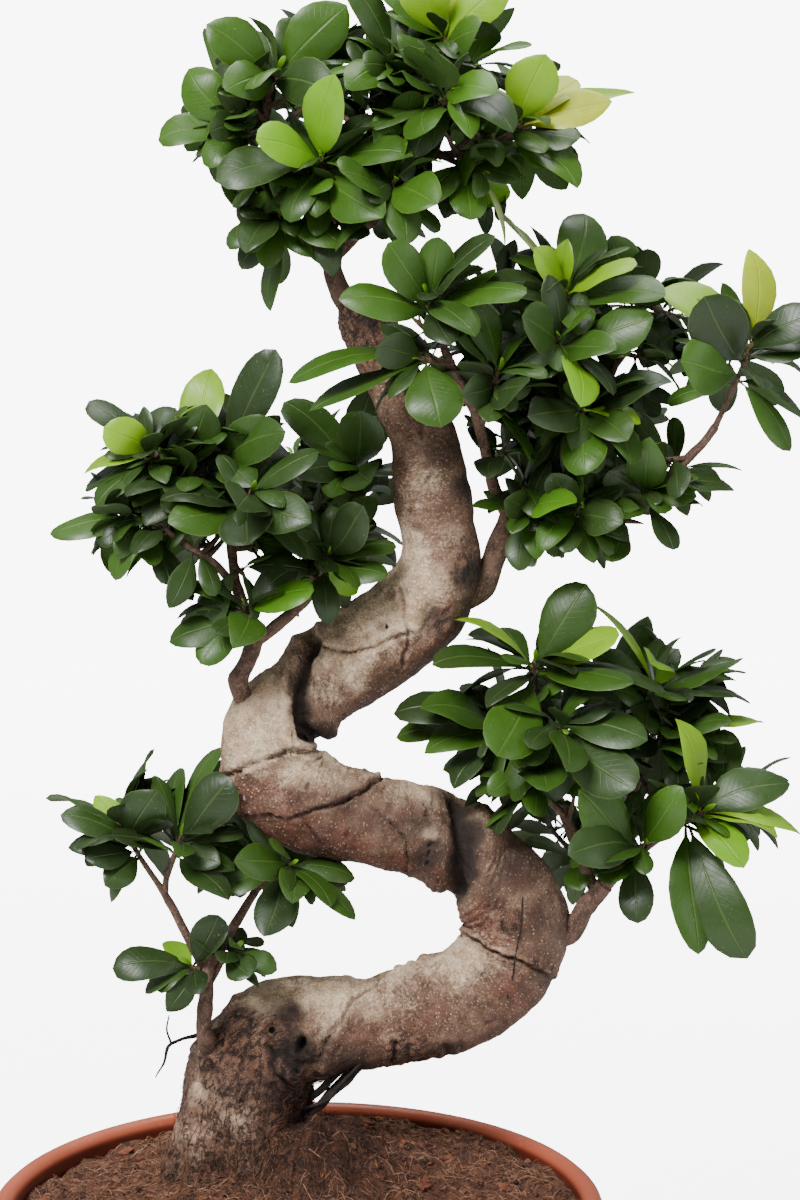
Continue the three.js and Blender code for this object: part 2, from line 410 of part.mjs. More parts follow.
function makePot() {
  const profile = [
    [0, 0], [BASE_RADIUS - 2, 0], [BASE_RADIUS, 2], [SHOULDER_RADIUS, SHOULDER_HEIGHT],
    [BAND_RADIUS - 2, SHOULDER_HEIGHT + 5], [BAND_RADIUS, POT_HEIGHT - LIP],
    [RIM_RADIUS - 1, POT_HEIGHT - LIP + 1], [RIM_RADIUS, POT_HEIGHT - LIP / 2],
    [RIM_RADIUS - 2, POT_HEIGHT - 1], [RIM_RADIUS - LIP / 2, POT_HEIGHT],
    [RIM_RADIUS - LIP + 1, POT_HEIGHT - 2], [BAND_RADIUS - WALL, POT_HEIGHT - LIP],
    ...innerWall(0), [0, FLOOR],
  ];
  const outline = profile.map(([radius, height]) => new THREE.Vector2(radius, height));
  let pot = solidOf(new THREE.LatheGeometry(outline, ROUND_SEGMENTS).rotateX(Math.PI / 2));
  for (let i = 0; i < DRAIN_HOLES; i += 1) {
    const angle = (i * 2 * Math.PI) / DRAIN_HOLES;
    const hole = new THREE.CylinderGeometry(DRAIN_RADIUS, DRAIN_RADIUS, 4 * FLOOR, 12).rotateX(Math.PI / 2);
    hole.translate(DRAIN_RING * Math.cos(angle), DRAIN_RING * Math.sin(angle), 0);
    pot = pot.subtract(solidOf(hole));
  }
  return pot;
}

// The pot's inside from the top of the band down to the floor, less a gap for what fills it
function innerWall(gap) {
  return [
    [BAND_RADIUS - 2 - WALL - gap, SHOULDER_HEIGHT + 6],
    [SHOULDER_RADIUS - WALL - gap, SHOULDER_HEIGHT + gap],
    [BASE_RADIUS - WALL - gap, FLOOR + gap],
  ];
}

function soilHeight(x, y) {
  const hump = ({ x: cx, y: cy, height, spread }) =>
    height * Math.exp(-((x - cx) ** 2 + (y - cy) ** 2) / (2 * spread ** 2));
  const waves = 1.2 * Math.sin(x / 11 + 1) * Math.cos(y / 13) + 0.8 * Math.sin((x + y) / 7);
  return SOIL_LEVEL + hump(MOUND) + hump(RISE) + waves;
}

function makeSoil(trunkRoom) {
  const edge = BAND_RADIUS - WALL - GAP - 0.3;
  const profile = [
    [0, FLOOR + GAP], ...innerWall(GAP).reverse(), [edge, SOIL_LEVEL],
    ...SOIL_RINGS.map((radius) => [radius, SOIL_LEVEL]), [0, SOIL_LEVEL],
  ];
  const outline = profile.map(([radius, height]) => new THREE.Vector2(radius, height));
  const geometry = new THREE.LatheGeometry(outline, ROUND_SEGMENTS).rotateX(Math.PI / 2);
  const position = geometry.attributes.position;
  for (let i = 0; i < position.count; i += 1) {
    const [x, y, z] = [position.getX(i), position.getY(i), position.getZ(i)];
    if (z > SOIL_LEVEL - 1) position.setZ(i, soilHeight(x, y));
  }
  return solidOf(geometry).subtract(trunkRoom);
}

// A thin leaf blade from its root to its tip, widest past the middle and arched along its length. Each
// section is a flat triangle: two edges, and the rib under them.
function makeLeaf({ root, tip, width, face }) {
  const length = root.distanceTo(tip);
  const ahead = tip.clone().sub(root).divideScalar(length);
  const side = new THREE.Vector3().crossVectors(face, ahead);
  const geometry = new THREE.SphereGeometry(1, 3, LEAF_STATIONS.length - 1);
  const position = geometry.attributes.position;
  for (let i = 0; i < position.count; i += 1) {
    const polar = Math.acos(THREE.MathUtils.clamp(position.getY(i), -1, 1)) / Math.PI;
    const ring = Math.round(polar * (LEAF_STATIONS.length - 1));
    const along = LEAF_STATIONS[ring];
    const halfWidth = (LEAF_WIDTHS[ring] * width) / 2;
    const onRib = position.getX(i) < 0;
    const sideways = onRib ? 0 : Math.sign(position.getZ(i)) * halfWidth;
    const thickness = onRib && halfWidth > 0 ? LEAF_THICKNESS : 0;
    const lift = LEAF_ARCH * length * 4 * along * (1 - along) - thickness;
    const corner = root.clone().addScaledVector(ahead, along * length)
      .addScaledVector(side, sideways).addScaledVector(face, lift);
    position.setXYZ(i, corner.x, corner.y, corner.z);
  }
  return solidOf(geometry);
}

// The direction nearest to "wanted" that is square to the leaf's length
function squareTo(ahead, wanted) {
  return wanted.clone().addScaledVector(ahead, -wanted.dot(ahead)).normalize();
}

// A leaf that shows plainly. "shift" is how far its twig's end was moved by the spread.
function seenLeaf(twig, share, [x, z, depth, width, forwards], shift) {
  const root = twig.start.clone().lerp(twig.end, share);
  const tip = place([x, z, depth + shift]);
  const ahead = tip.clone().sub(root).normalize();
  const face = squareTo(ahead, new THREE.Vector3(0, -forwards, 1.02 - forwards));
  return { root, tip, width, face };
}

// Leaf number "index" of those that stand around the twig, each turned by the golden angle
function fillLeaf(twig, index, count, size, nudge) {
  const share = (index + 0.5) / count;
  const root = twig.start.clone().lerp(twig.end, 0.5 + 0.5 * share);
  const opening = THREE.MathUtils.degToRad(84 - 44 * share);
  const turn = index * GOLDEN_ANGLE + twig.turn + nudge / 30;
  const ahead = twig.ahead.clone().multiplyScalar(Math.cos(opening))
    .addScaledVector(twig.across, Math.sin(opening) * Math.cos(turn))
    .addScaledVector(twig.beside, Math.sin(opening) * Math.sin(turn));
  ahead.z -= 0.12;
  ahead.normalize();
  const length = size * (1.12 - 0.3 * share + 0.1 * Math.sin(5 * index + twig.turn));
  const tip = root.clone().addScaledVector(ahead, length);
  return { root, tip, width: length * LEAF_SLIMNESS, face: squareTo(ahead, twig.ahead) };
}

// A shoot's own twig, from its stem
function mainTwig(shoot, number) {
  const start = nearestOn(STEMS[shoot.on], placeSpread(shoot.from));
  return makeTwig(start, placeSpread(shoot.to), number * 0.7);
}

function makeTwig(start, end, turn) {
  const ahead = end.clone().sub(start).normalize();
  const across = squareTo(ahead, new THREE.Vector3(0.3, -0.8, 0.52));
  const beside = new THREE.Vector3().crossVectors(ahead, across);
  return { start, end, ahead, across, beside, turn };
}

function nearestOn(arms, point) {
  let best = null;
  for (const arm of arms) {
    const curve = new THREE.CatmullRomCurve3(arm.map(placeSpread), false, 'catmullrom', 0.5);
    for (const candidate of curve.getPoints(8 * (arm.length - 1))) {
      if (!best || candidate.distanceTo(point) < best.distanceTo(point)) best = candidate;
    }
  }
  return best;
}

function bounds(solid) {
  const { min, max } = solid.boundingBox();
  return new THREE.Box3(new THREE.Vector3(...min), new THREE.Vector3(...max));
}

function isClear(candidate, others) {
  const box = bounds(candidate).expandByScalar(GAP);
  return others.every((other) => !box.intersectsBox(other.box) || candidate.minGap(other.solid, 1) > GAP);
}

function largestPiece(solid) {
  return solid.decompose().sort((a, b) => b.volume() - a.volume())[0];
}

// A shoot's twig with each of its leaves
function makeShoot(shoot, number, others, stemRoom) {
  const twig = mainTwig(shoot, number);
  const sideTwigs = (shoot.sprays || []).map((end, i) => {
    const fork = twig.start.clone().lerp(twig.end, 0.93 - 0.11 * i);
    return makeTwig(fork, placeSpread(end), number + i + 1);
  });
  const twigs = [twig, ...sideTwigs];
  let solid = twigs.map(straightTwig).reduce((all, each) => all.add(each));
  const outerParts = [];
  const choose = (leafAt, mayCross) => {
    const clear = NUDGES.map(leafAt).filter((leaf) => isClear(makeLeaf(leaf), others));
    const free = clear.find((leaf) => isClear(outerPart(leaf), outerParts));
    const leaf = free || (mayCross && clear[0]);
    if (!leaf) return;
    const outer = outerPart(leaf);
    outerParts.push({ solid: outer, box: bounds(outer) });
    solid = solid.add(makeLeaf(leaf));
  };
  const shift = (DEPTH_SPREAD - 1) * (shoot.to[2] - TRUNK_DEPTH);
  shoot.seen.forEach((leaf, i) => {
    const share = 0.45 + (0.5 * (i + 1)) / shoot.seen.length;
    choose((nudge) => seenLeaf(twig, share, leaf, shift + nudge), true);
  });
  for (const each of twigs) {
    const count = each === twig ? shoot.fill : SPRAY_LEAVES;
    for (let i = 0; i < count; i += 1) {
      choose((nudge) => fillLeaf(each, i, count, shoot.size, nudge), false);
    }
  }
  return largestPiece(solid.subtract(stemRoom));
}

function outerPart({ root, tip, width, face }) {
  return makeLeaf({ root: root.clone().lerp(tip, FREE_FROM), tip, width, face });
}

function straightTwig({ start, end, ahead }) {
  const length = start.distanceTo(end);
  const geometry = new THREE.CylinderGeometry(TWIG_RADII[1], TWIG_RADII[0], length, 4, 1);
  geometry.applyQuaternion(new THREE.Quaternion().setFromUnitVectors(new THREE.Vector3(0, 1, 0), ahead));
  const middle = start.clone().lerp(end, 0.5);
  return solidOf(geometry.translate(middle.x, middle.y, middle.z));
}

const tree = new THREE.Group();
tree.name = 'ficus_ginseng_bonsai';

const trunkBar = bar(TRUNK_LINE, TRUNK_SIDES, 2);
const trunk = ROOTS.reduce((solid, root) => solid.add(bar(root, ARM_SIDES, 1)), trunkBar);
const trunkRoom = bar(TRUNK_LINE, TRUNK_SIDES, 2, 2 * GAP);
const rootRoom = ROOTS.map((root) => bar(root, ARM_SIDES, 1, 2 * GAP)).reduce((room, root) => room.add(root));
tree.add(meshOf('pot', makePot(), 'pot'));
const soil = makeSoil(trunkRoom.add(rootRoom));
tree.add(meshOf('soil', soil, 'soil'));
tree.add(meshOf('trunk', trunk, 'bark'));

const placed = [{ solid: trunk, box: bounds(trunk) }, { solid: soil, box: bounds(soil) }];
const stemRooms = {};
for (const [name, arms] of Object.entries(STEMS)) {
  const thick = (extra) => arms.map((arm) => bar(arm, ARM_SIDES, 1, extra, placeSpread))
    .reduce((all, arm) => all.add(arm));
  const stem = largestPiece(thick(0).subtract(trunkRoom));
  stemRooms[name] = thick(1.5 * GAP);
  placed.push({ solid: stem, box: bounds(stem), name });
  tree.add(meshOf(`stem_${name}`, stem, 'youngBark'));
}

SHOOTS.forEach((shoot, number) => {
  const others = placed.filter((other) => other.name !== shoot.on);
  const solid = makeShoot(shoot, number, others, stemRooms[shoot.on]);
  placed.push({ solid, box: bounds(solid) });
  tree.add(meshOf(`shoot_${shoot.name}`, solid, 'leaf'));
});

export default tree;
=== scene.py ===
import math
import random

import bpy
import numpy as np
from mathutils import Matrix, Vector, noise
from mathutils.kdtree import KDTree


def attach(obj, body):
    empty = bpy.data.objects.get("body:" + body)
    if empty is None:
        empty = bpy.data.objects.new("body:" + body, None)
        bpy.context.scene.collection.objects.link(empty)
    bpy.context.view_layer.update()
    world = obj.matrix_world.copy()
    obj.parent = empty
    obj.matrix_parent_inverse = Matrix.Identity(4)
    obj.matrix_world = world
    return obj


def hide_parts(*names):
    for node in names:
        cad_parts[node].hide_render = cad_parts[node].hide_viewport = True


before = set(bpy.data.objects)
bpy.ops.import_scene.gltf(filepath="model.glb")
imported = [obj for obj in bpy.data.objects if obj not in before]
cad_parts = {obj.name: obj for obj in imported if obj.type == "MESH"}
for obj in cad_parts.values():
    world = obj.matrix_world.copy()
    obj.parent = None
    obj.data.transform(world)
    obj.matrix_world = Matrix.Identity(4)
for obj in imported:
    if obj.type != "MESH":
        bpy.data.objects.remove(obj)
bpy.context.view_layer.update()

MM = 0.001
bpy.ops.object.select_all(action="DESELECT")


# Camera and light
# A portrait lens a little above the tree's middle looks slightly down at it. A large soft light hangs up
# on the left, a weaker one stands on the right, and the room is bright all round.
EYE = np.array((45.0, -1200.0, 648.0))
CAMERA_DROP = math.radians(8.37)
CAMERA_LENS = 85
ROOM_LIGHT = 0.36
BACKDROP_LIGHT = 8.6

bpy.ops.object.camera_add(location=EYE * MM, rotation=(math.pi / 2 - CAMERA_DROP, 0, 0))
camera = bpy.context.object
camera.name = "camera"
camera.data.lens = CAMERA_LENS
bpy.context.scene.camera = camera


def add_node(tree, kind, inputs=(), **settings):
    """A node with its settings, and with each named or numbered input set or linked."""
    node = tree.nodes.new(kind)
    for key, value in settings.items():
        setattr(node, key, value)
    for key, value in dict(inputs).items():
        if isinstance(value, bpy.types.NodeSocket):
            tree.links.new(value, node.inputs[key])
        else:
            node.inputs[key].default_value = value
    return node


def sum_of(tree, operation, *values):
    """The result of a Math node."""
    return add_node(tree, "ShaderNodeMath", enumerate(values), operation=operation).outputs[0]


def seen_only(tree, plain, seen):
    """A strength that is one value for what the camera sees directly, and another for all other light."""
    straight = add_node(tree, "ShaderNodeLightPath").outputs["Is Camera Ray"]
    return sum_of(tree, "MULTIPLY_ADD", straight, seen - plain, plain)


def soft_light(name, place, target, size, power):
    """A square lamp that faces its target."""
    facing = (Vector(target) - Vector(place)).to_track_quat("-Z", "Y").to_euler()
    bpy.ops.object.light_add(type="AREA", location=place, rotation=facing)
    lamp = bpy.context.object
    lamp.name = name
    lamp.data.size = size
    lamp.data.energy = power


soft_light("key_light", (-0.85, -1.45, 2.15), (0.05, 0, 0.45), 1.0, 93)
soft_light("fill_light", (1.7, -1.0, 1.1), (0.05, 0, 0.4), 1.2, 9)
soft_light("top_light", (0.1, 0.5, 2.2), (0.05, 0, 0.4), 1.2, 30)

room = bpy.data.worlds.new("room")
room.use_nodes = True
room.node_tree.nodes["Background"].inputs["Color"].default_value = (0.98, 0.99, 1, 1)
room.node_tree.links.new(seen_only(room.node_tree, ROOM_LIGHT, BACKDROP_LIGHT),
                         room.node_tree.nodes["Background"].inputs["Strength"])
bpy.context.scene.world = room


# Floor
# A wide sheet of pale paper that the pot stands on. It is lit up where the camera sees it, so it runs into
# the backdrop, and glows a little less around the pot as a painted soft shadow.
FLOOR_SIZE = 60
FLOOR_GLOW = 8.1
# How much the floor glows in its painted shadow near the pot, and the distances in metres over which that
# shadow fades
FLOOR_GLOW_SHADOWED = 5.6
FLOOR_GLOW_REACH = (0.3, 2.6)


def new_material(name, roughness, **sockets):
    """A material, its node tree and its shader, with the shader's even values set on its own sockets."""
    material = bpy.data.materials.new(name)
    material.use_nodes = True
    shader = material.node_tree.nodes["Principled BSDF"]
    shader.inputs["Roughness"].default_value = roughness
    for key, value in sockets.items():
        shader.inputs[key.replace("_", " ")].default_value = value
    return material, material.node_tree, shader


paper, paper_tree, paper_shader = new_material("floor_paper", 0.9, Base_Color=(0.8, 0.8, 0.8, 1))
paper_shader.inputs["Emission Color"].default_value = (1, 1, 1, 1)
away = add_node(paper_tree, "ShaderNodeVectorMath", {
    0: add_node(paper_tree, "ShaderNodeTexCoord").outputs["Object"]}, operation="LENGTH").outputs["Value"]
# Painted shadow: the floor's glow is dimmer near the pot
glow = add_node(paper_tree, "ShaderNodeMapRange", {
    0: away, 1: FLOOR_GLOW_REACH[0], 2: FLOOR_GLOW_REACH[1], 3: FLOOR_GLOW_SHADOWED, 4: FLOOR_GLOW},
    interpolation_type="SMOOTHSTEP").outputs[0]
paper_tree.links.new(sum_of(paper_tree, "MULTIPLY", seen_only(paper_tree, 0, 1), glow),
                     paper_shader.inputs["Emission Strength"])
bpy.ops.mesh.primitive_plane_add(size=FLOOR_SIZE)
floor = bpy.context.object
floor.name = "floor"
floor.data.materials.append(paper)


# Pot
# A round grower's pot of moulded terracotta-brown plastic. It tapers down to a flat underside with
# drain holes, has a straight band below the rim, and the rim is rolled over into a thick round lip.
RIM_RADIUS = 135
POT_HEIGHT = 205
BASE_RADIUS = 98
SHOULDER_HEIGHT = 158
SHOULDER_RADIUS = 121
BAND_RADIUS = 130
WALL = 3
POT_FLOOR = 4
LIP = 9
LIP_STEPS = 9
POT_SEGMENTS = 160
DRAIN_HOLES = 8
DRAIN_RADIUS = 6
DRAIN_RING = 72
DRILL_SIDES = 24
POLE_RADIUS = 1
# Where painted shade on the inner wall below the lip starts and where it is full: distances from the axis,
# and heights
PAINTED_SHADE_RADII = (130.3, 128.6)
PAINTED_SHADE_HEIGHTS = (202.6, 199.6)


def turned(name, outline, segments):
    """A closed round piece: a ring of edges, extruded and resized from each (radius, height) to the next."""
    (radius, height), *_ = outline
    bpy.ops.mesh.primitive_circle_add(vertices=segments, radius=radius * MM, location=(0, 0, height * MM))
    piece = bpy.context.object
    piece.name = piece.data.name = name
    bpy.ops.object.transform_apply()
    bpy.ops.object.mode_set(mode="EDIT")
    bpy.ops.mesh.select_all(action="SELECT")
    for (old_radius, old_height), (radius, height) in zip(outline, outline[1:]):
        bpy.ops.mesh.extrude_region_move(TRANSFORM_OT_translate={"value": (0, 0, (height - old_height) * MM)})
        ratio = radius / old_radius
        bpy.ops.transform.resize(value=(ratio, ratio, 1), center_override=(0, 0, height * MM))
    bpy.ops.mesh.select_all(action="SELECT")
    bpy.ops.mesh.fill_holes(sides=0)
    bpy.ops.mesh.normals_make_consistent(inside=False)
    bpy.ops.object.mode_set(mode="OBJECT")
    return piece


def finish_piece(piece, slot, *materials, smooth=math.radians(40), nodes=()):
    """Smooths a piece, gives it its materials, and joins it to the frame."""
    piece.data.materials.clear()
    for material in materials:
        piece.data.materials.append(material)
    bpy.context.view_layer.objects.active = piece
    piece.select_set(True)
    bpy.ops.object.shade_smooth_by_angle(angle=smooth)
    bpy.ops.object.select_all(action="DESELECT")
    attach(piece, "root")
    if nodes:
        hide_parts(*nodes)


def arc(centre, radius, start, end, steps):
    """Points of a (radius, height) outline along an arc, with its angles in degrees."""
    turns = [math.radians(start + (end - start) * i / steps) for i in range(steps + 1)]
    return [(centre[0] + radius * math.cos(turn), centre[1] + radius * math.sin(turn)) for turn in turns]


lip_centre = (RIM_RADIUS - LIP / 2, POT_HEIGHT - LIP / 2)
pot = turned("pot_body", [
    (POLE_RADIUS, 0.6), (60, 0.6), (63, 0), *arc((BASE_RADIUS - 2.5, 2.5), 2.5, -90, -5, 4),
    (SHOULDER_RADIUS - 0.4, SHOULDER_HEIGHT - 2), (SHOULDER_RADIUS + 0.4, SHOULDER_HEIGHT),
    (BAND_RADIUS - 3, SHOULDER_HEIGHT + 4), (BAND_RADIUS - 2, SHOULDER_HEIGHT + 6),
    (BAND_RADIUS, POT_HEIGHT - LIP - 1), *arc(lip_centre, LIP / 2, -75, 170, LIP_STEPS),
    (RIM_RADIUS - LIP, POT_HEIGHT - LIP / 2 - 2), (BAND_RADIUS - WALL, POT_HEIGHT - LIP - 2),
    (BAND_RADIUS - 2 - WALL, SHOULDER_HEIGHT + 6), (SHOULDER_RADIUS - WALL, SHOULDER_HEIGHT),
    (BASE_RADIUS - WALL, POT_FLOOR), (POLE_RADIUS, POT_FLOOR),
], POT_SEGMENTS)

drills = []
for i in range(DRAIN_HOLES):
    turn = 2 * math.pi * i / DRAIN_HOLES
    bpy.ops.mesh.primitive_cylinder_add(
        vertices=DRILL_SIDES, radius=DRAIN_RADIUS * MM, depth=4 * POT_FLOOR * MM,
        location=(DRAIN_RING * MM * math.cos(turn), DRAIN_RING * MM * math.sin(turn), 0))
    drills.append(bpy.context.object)
for drill in drills:
    drill.select_set(True)
bpy.ops.object.join()
drill = bpy.context.object
bpy.context.view_layer.objects.active = pot
drilling = pot.modifiers.new("drain_holes", "BOOLEAN")
drilling.object = drill
bpy.ops.object.modifier_apply(modifier=drilling.name)
bpy.data.objects.remove(drill)


def colour(red, green, blue):
    """A colour for a shader, from its screen values of 0 to 255."""
    def linear(value):
        value /= 255
        return value / 12.92 if value <= 0.04045 else ((value + 0.055) / 1.055) ** 2.4
    return linear(red), linear(green), linear(blue), 1


def mixed(tree, share, first, second):
    """One colour that turns into another."""
    node = add_node(tree, "ShaderNodeMix", {0: share, 6: first, 7: second}, data_type="RGBA")
    return node.outputs[2]


def ramp(tree, value, low, high, start=0, end=1):
    """A value that runs smoothly from start to end while another goes from low to high."""
    node = add_node(tree, "ShaderNodeMapRange", {0: value, 1: low, 2: high, 3: start, 4: end},
                    interpolation_type="SMOOTHSTEP")
    return node.outputs[0]


def object_noise(tree, scale, detail, rough=0.55, place=None):
    """Noise that is fixed to the piece. The scale is in waves per metre."""
    place = place or add_node(tree, "ShaderNodeTexCoord").outputs["Object"]
    node = add_node(tree, "ShaderNodeTexNoise",
                    {"Vector": place, "Scale": scale, "Detail": detail, "Roughness": rough})
    return node.outputs["Fac"]


def bumped(tree, shader, height, distance):
    """Gives the shader a relief of that depth in millimetres."""
    relief = add_node(tree, "ShaderNodeBump", {"Height": height, "Distance": distance * MM, "Strength": 1.0})
    tree.links.new(relief.outputs[0], shader.inputs["Normal"])


plastic, plastic_tree, plastic_shader = new_material("pot_plastic", 0.42)
bloom = ramp(plastic_tree, object_noise(plastic_tree, 22, 6, 0.6), 0.42, 0.7)
scuff = ramp(plastic_tree, object_noise(plastic_tree, 170, 5, 0.7), 0.58, 0.72)
base = mixed(plastic_tree, bloom, colour(178, 87, 59), colour(187, 97, 68))
base = mixed(plastic_tree, sum_of(plastic_tree, "MULTIPLY", scuff, 0.2), base, colour(214, 150, 126))
x, y, z = add_node(plastic_tree, "ShaderNodeSeparateXYZ", {
    0: add_node(plastic_tree, "ShaderNodeTexCoord").outputs["Object"]}).outputs
from_axis = sum_of(plastic_tree, "SQRT", sum_of(plastic_tree, "MULTIPLY_ADD", x, x,
                                                sum_of(plastic_tree, "MULTIPLY", y, y)))
# Painted shade: the inner wall just below the lip is darkened
wall_shade = sum_of(plastic_tree, "MULTIPLY",
              ramp(plastic_tree, from_axis, PAINTED_SHADE_RADII[0] * MM, PAINTED_SHADE_RADII[1] * MM),
              ramp(plastic_tree, z, PAINTED_SHADE_HEIGHTS[0] * MM, PAINTED_SHADE_HEIGHTS[1] * MM))
base = mixed(plastic_tree, wall_shade, base, colour(104, 44, 30))
plastic_tree.links.new(base, plastic_shader.inputs["Base Color"])
plastic_tree.links.new(ramp(plastic_tree, bloom, 0, 1, 0.36, 0.52), plastic_shader.inputs["Roughness"])
bumped(plastic_tree, plastic_shader, object_noise(plastic_tree, 900, 3), 0.06)
finish_piece(pot, "pot", plastic, nodes=["pot"])


# Potting mix
# Coarse brown mix a finger below the rim, heaped against the trunk's foot. Its body is one closed piece
# whose top is lumpy, and loose fibres, bark chips and crumbs lie on it.
SOIL_LEVEL = 195
SOIL_GAP = 0.6
# Mounds and a dip: x and y of the middle, how far the mix rises there, and how wide the mound spreads
MOUNDS = ((-1, 32, 17, 17), (-20, 40, 7, 52), (26, 32, 14, 32), (-82, 66, -5, 32))
# The mix rises towards the back by so much, between two distances behind the pot's axis
BACK_RISE = (3.2, 15, 95)
# The heap against the trunk: x and y of its middle, and its spread
HEAP = (10, 28, 26)
# Sizes and depths of the lumps all over the mix, and those of the clods on the heap
LUMPS = ((26, 3.0), (9, 2.4), (3.8, 1.6), (2.1, 1.1))
CLODS = (8, 8)
SOIL_RINGS = 90
SOIL_SEGMENTS = 270


def near_heap(x, y):
    """1 in the middle of the mix that is heaped against the trunk, and less the further from it."""
    return math.exp(-((x - HEAP[0]) ** 2 + (y - HEAP[1]) ** 2) / (2 * HEAP[2] ** 2))


def soil_height(x, y):
    """The height of the mix at a place, in millimetres."""
    height = SOIL_LEVEL + 1.2 * math.sin(x / 11 + 1) * math.cos(y / 13) + 0.8 * math.sin((x + y) / 7)
    for middle_x, middle_y, rise, spread in MOUNDS:
        height += rise * math.exp(-((x - middle_x) ** 2 + (y - middle_y) ** 2) / (2 * spread ** 2))
    for size, depth in LUMPS:
        height += depth * noise.noise(Vector((x, y, 7)) / size)
    higher, start, end = BACK_RISE
    height += higher * min(1, max(0, (y - start) / (end - start)))
    return height + CLODS[1] * near_heap(x, y) * noise.noise(Vector((x, y, 2)) / CLODS[0])


soil_edge = BAND_RADIUS - WALL - SOIL_GAP
rings = [(soil_edge * (SOIL_RINGS - i) / SOIL_RINGS, SOIL_LEVEL) for i in range(SOIL_RINGS)]
soil = turned("soil_bed", [
    (POLE_RADIUS, POT_FLOOR + SOIL_GAP), (BASE_RADIUS - WALL - SOIL_GAP, POT_FLOOR + SOIL_GAP),
    (SHOULDER_RADIUS - WALL - SOIL_GAP, SHOULDER_HEIGHT),
    (BAND_RADIUS - 2 - WALL - SOIL_GAP, SHOULDER_HEIGHT + 6),
    *rings, (POLE_RADIUS, SOIL_LEVEL),
], SOIL_SEGMENTS)
for vertex in soil.data.vertices:
    x, y, z = vertex.co / MM
    if z > SOIL_LEVEL - 1:
        vertex.co.z = soil_height(x, y) * MM


def bark_colours(name):
    """A node group of colours that drift and speckle: Colour and Height from three shades and a scale."""
    group = bpy.data.node_groups.new(name, "ShaderNodeTree")
    for label in ("Dark", "Middle", "Light"):
        group.interface.new_socket(label, in_out="INPUT", socket_type="NodeSocketColor")
    group.interface.new_socket("Scale", in_out="INPUT", socket_type="NodeSocketFloat")
    group.interface.new_socket("Colour", in_out="OUTPUT", socket_type="NodeSocketColor")
    group.interface.new_socket("Height", in_out="OUTPUT", socket_type="NodeSocketFloat")
    given = group.nodes.new("NodeGroupInput").outputs
    place = add_node(group, "ShaderNodeTexCoord").outputs["Object"]
    scaled = add_node(group, "ShaderNodeVectorMath", {0: place, 3: given["Scale"]},
                      operation="SCALE").outputs[0]
    broad = object_noise(group, 1, 6, 0.6, scaled)
    fine = object_noise(group, 7, 5, 0.7, scaled)
    tone = mixed(group, ramp(group, broad, 0.35, 0.62), given["Dark"], given["Middle"])
    tone = mixed(group, ramp(group, fine, 0.5, 0.72), tone, given["Light"])
    result = group.nodes.new("NodeGroupOutput")
    group.links.new(tone, result.inputs["Colour"])
    group.links.new(sum_of(group, "MULTIPLY_ADD", fine, 0.6, broad), result.inputs["Height"])
    return group


def grouped(tree, group, **inputs):
    """A node group in a material, with its inputs set."""
    return add_node(tree, "ShaderNodeGroup", {key.title(): value for key, value in inputs.items()},
                    node_tree=group).outputs


def named_attribute(tree, name, output="Fac"):
    """A value or colour that the mesh carries."""
    return add_node(tree, "ShaderNodeAttribute", attribute_name=name).outputs[output]


drift = bark_colours("drifting_tone")


def loose_material(name, dark, middle, light, scale, roughness=0.95):
    """A dry fibrous material for the mix and what lies on it, with a shade of each bit's own."""
    material, tree, shader = new_material(name, roughness)
    toned = grouped(tree, drift, dark=dark, middle=middle, light=light, scale=scale)
    tree.links.new(toned["Colour"], shader.inputs["Base Color"])
    bumped(tree, shader, toned["Height"], 1.2)
    return material


soil_mix = loose_material("soil_mix", colour(34, 17, 11), colour(98, 60, 43), colour(158, 112, 86), 210)
finish_piece(soil, "soil", soil_mix, smooth=math.radians(60), nodes=["soil"])


# Fibres
# Coir fibres as thin as a hair lie matted on the mix in every direction, each a three-sided thread that
# follows the ground and lifts off it a little.
FIBRES = 6000
FIBRES_TAN = 2800
FIBRES_DARK = 2150
FIBRE_LENGTH = (4, 13)
FIBRE_RADIUS = (0.08, 0.19)
FIBRE_STEPS = 3
SHAG = 1500
SHAG_REACH = (3, 9)
CLEAR_OF_WALL = 4

fibre_brown = loose_material("fibre_brown", colour(80, 48, 34), colour(120, 80, 58), colour(152, 112, 86), 90)
fibre_tan = loose_material("fibre_tan", colour(130, 88, 64), colour(172, 128, 98), colour(208, 168, 136), 90)
fibre_dark = loose_material("fibre_dark", colour(34, 20, 14), colour(68, 44, 32), colour(108, 78, 58), 90)


def unit(vectors):
    """Directions one long."""
    return vectors / np.linalg.norm(vectors, axis=-1, keepdims=True)


def mesh_piece(name, points, faces):
    """A piece from points in millimetres."""
    mesh = bpy.data.meshes.new(name)
    mesh.from_pydata([tuple(point) for point in np.asarray(points) * MM], [], faces)
    piece = bpy.data.objects.new(name, mesh)
    bpy.context.collection.objects.link(piece)
    return piece


def spot_on_soil(chance):
    """A random place on the mix."""
    radius = (soil_edge - CLEAR_OF_WALL) * math.sqrt(chance.random())
    turn = 2 * math.pi * chance.random()
    return radius * math.cos(turn), radius * math.sin(turn)


def threads(name, paths, slot, material):
    """Many thin threads in one mesh, from lists of points with a radius, tapered at both ends."""
    points = []
    faces = []
    for path, radius in paths:
        first = len(points)
        way = path[-1] - path[0]
        beside = np.cross(way, (0, 0.3, 1))
        beside /= np.linalg.norm(beside) + 1e-9
        over = np.cross(beside, way / (np.linalg.norm(way) + 1e-9))
        last_step = len(path) - 1
        for i, middle in enumerate(path):
            thin = radius * (1 - 0.6 * abs(2 * i / last_step - 1))
            points += [middle + beside * thin, middle + over * 1.6 * thin, middle - beside * thin]
        for i in range(last_step):
            low = first + 3 * i
            faces += [(low + k, low + 3 + k, low + 3 + (k + 1) % 3, low + (k + 1) % 3) for k in range(3)]
        last = first + 3 * last_step
        faces += [(first, first + 1, first + 2), (last + 2, last + 1, last)]
    finish_piece(mesh_piece(name, points, faces), slot, material)


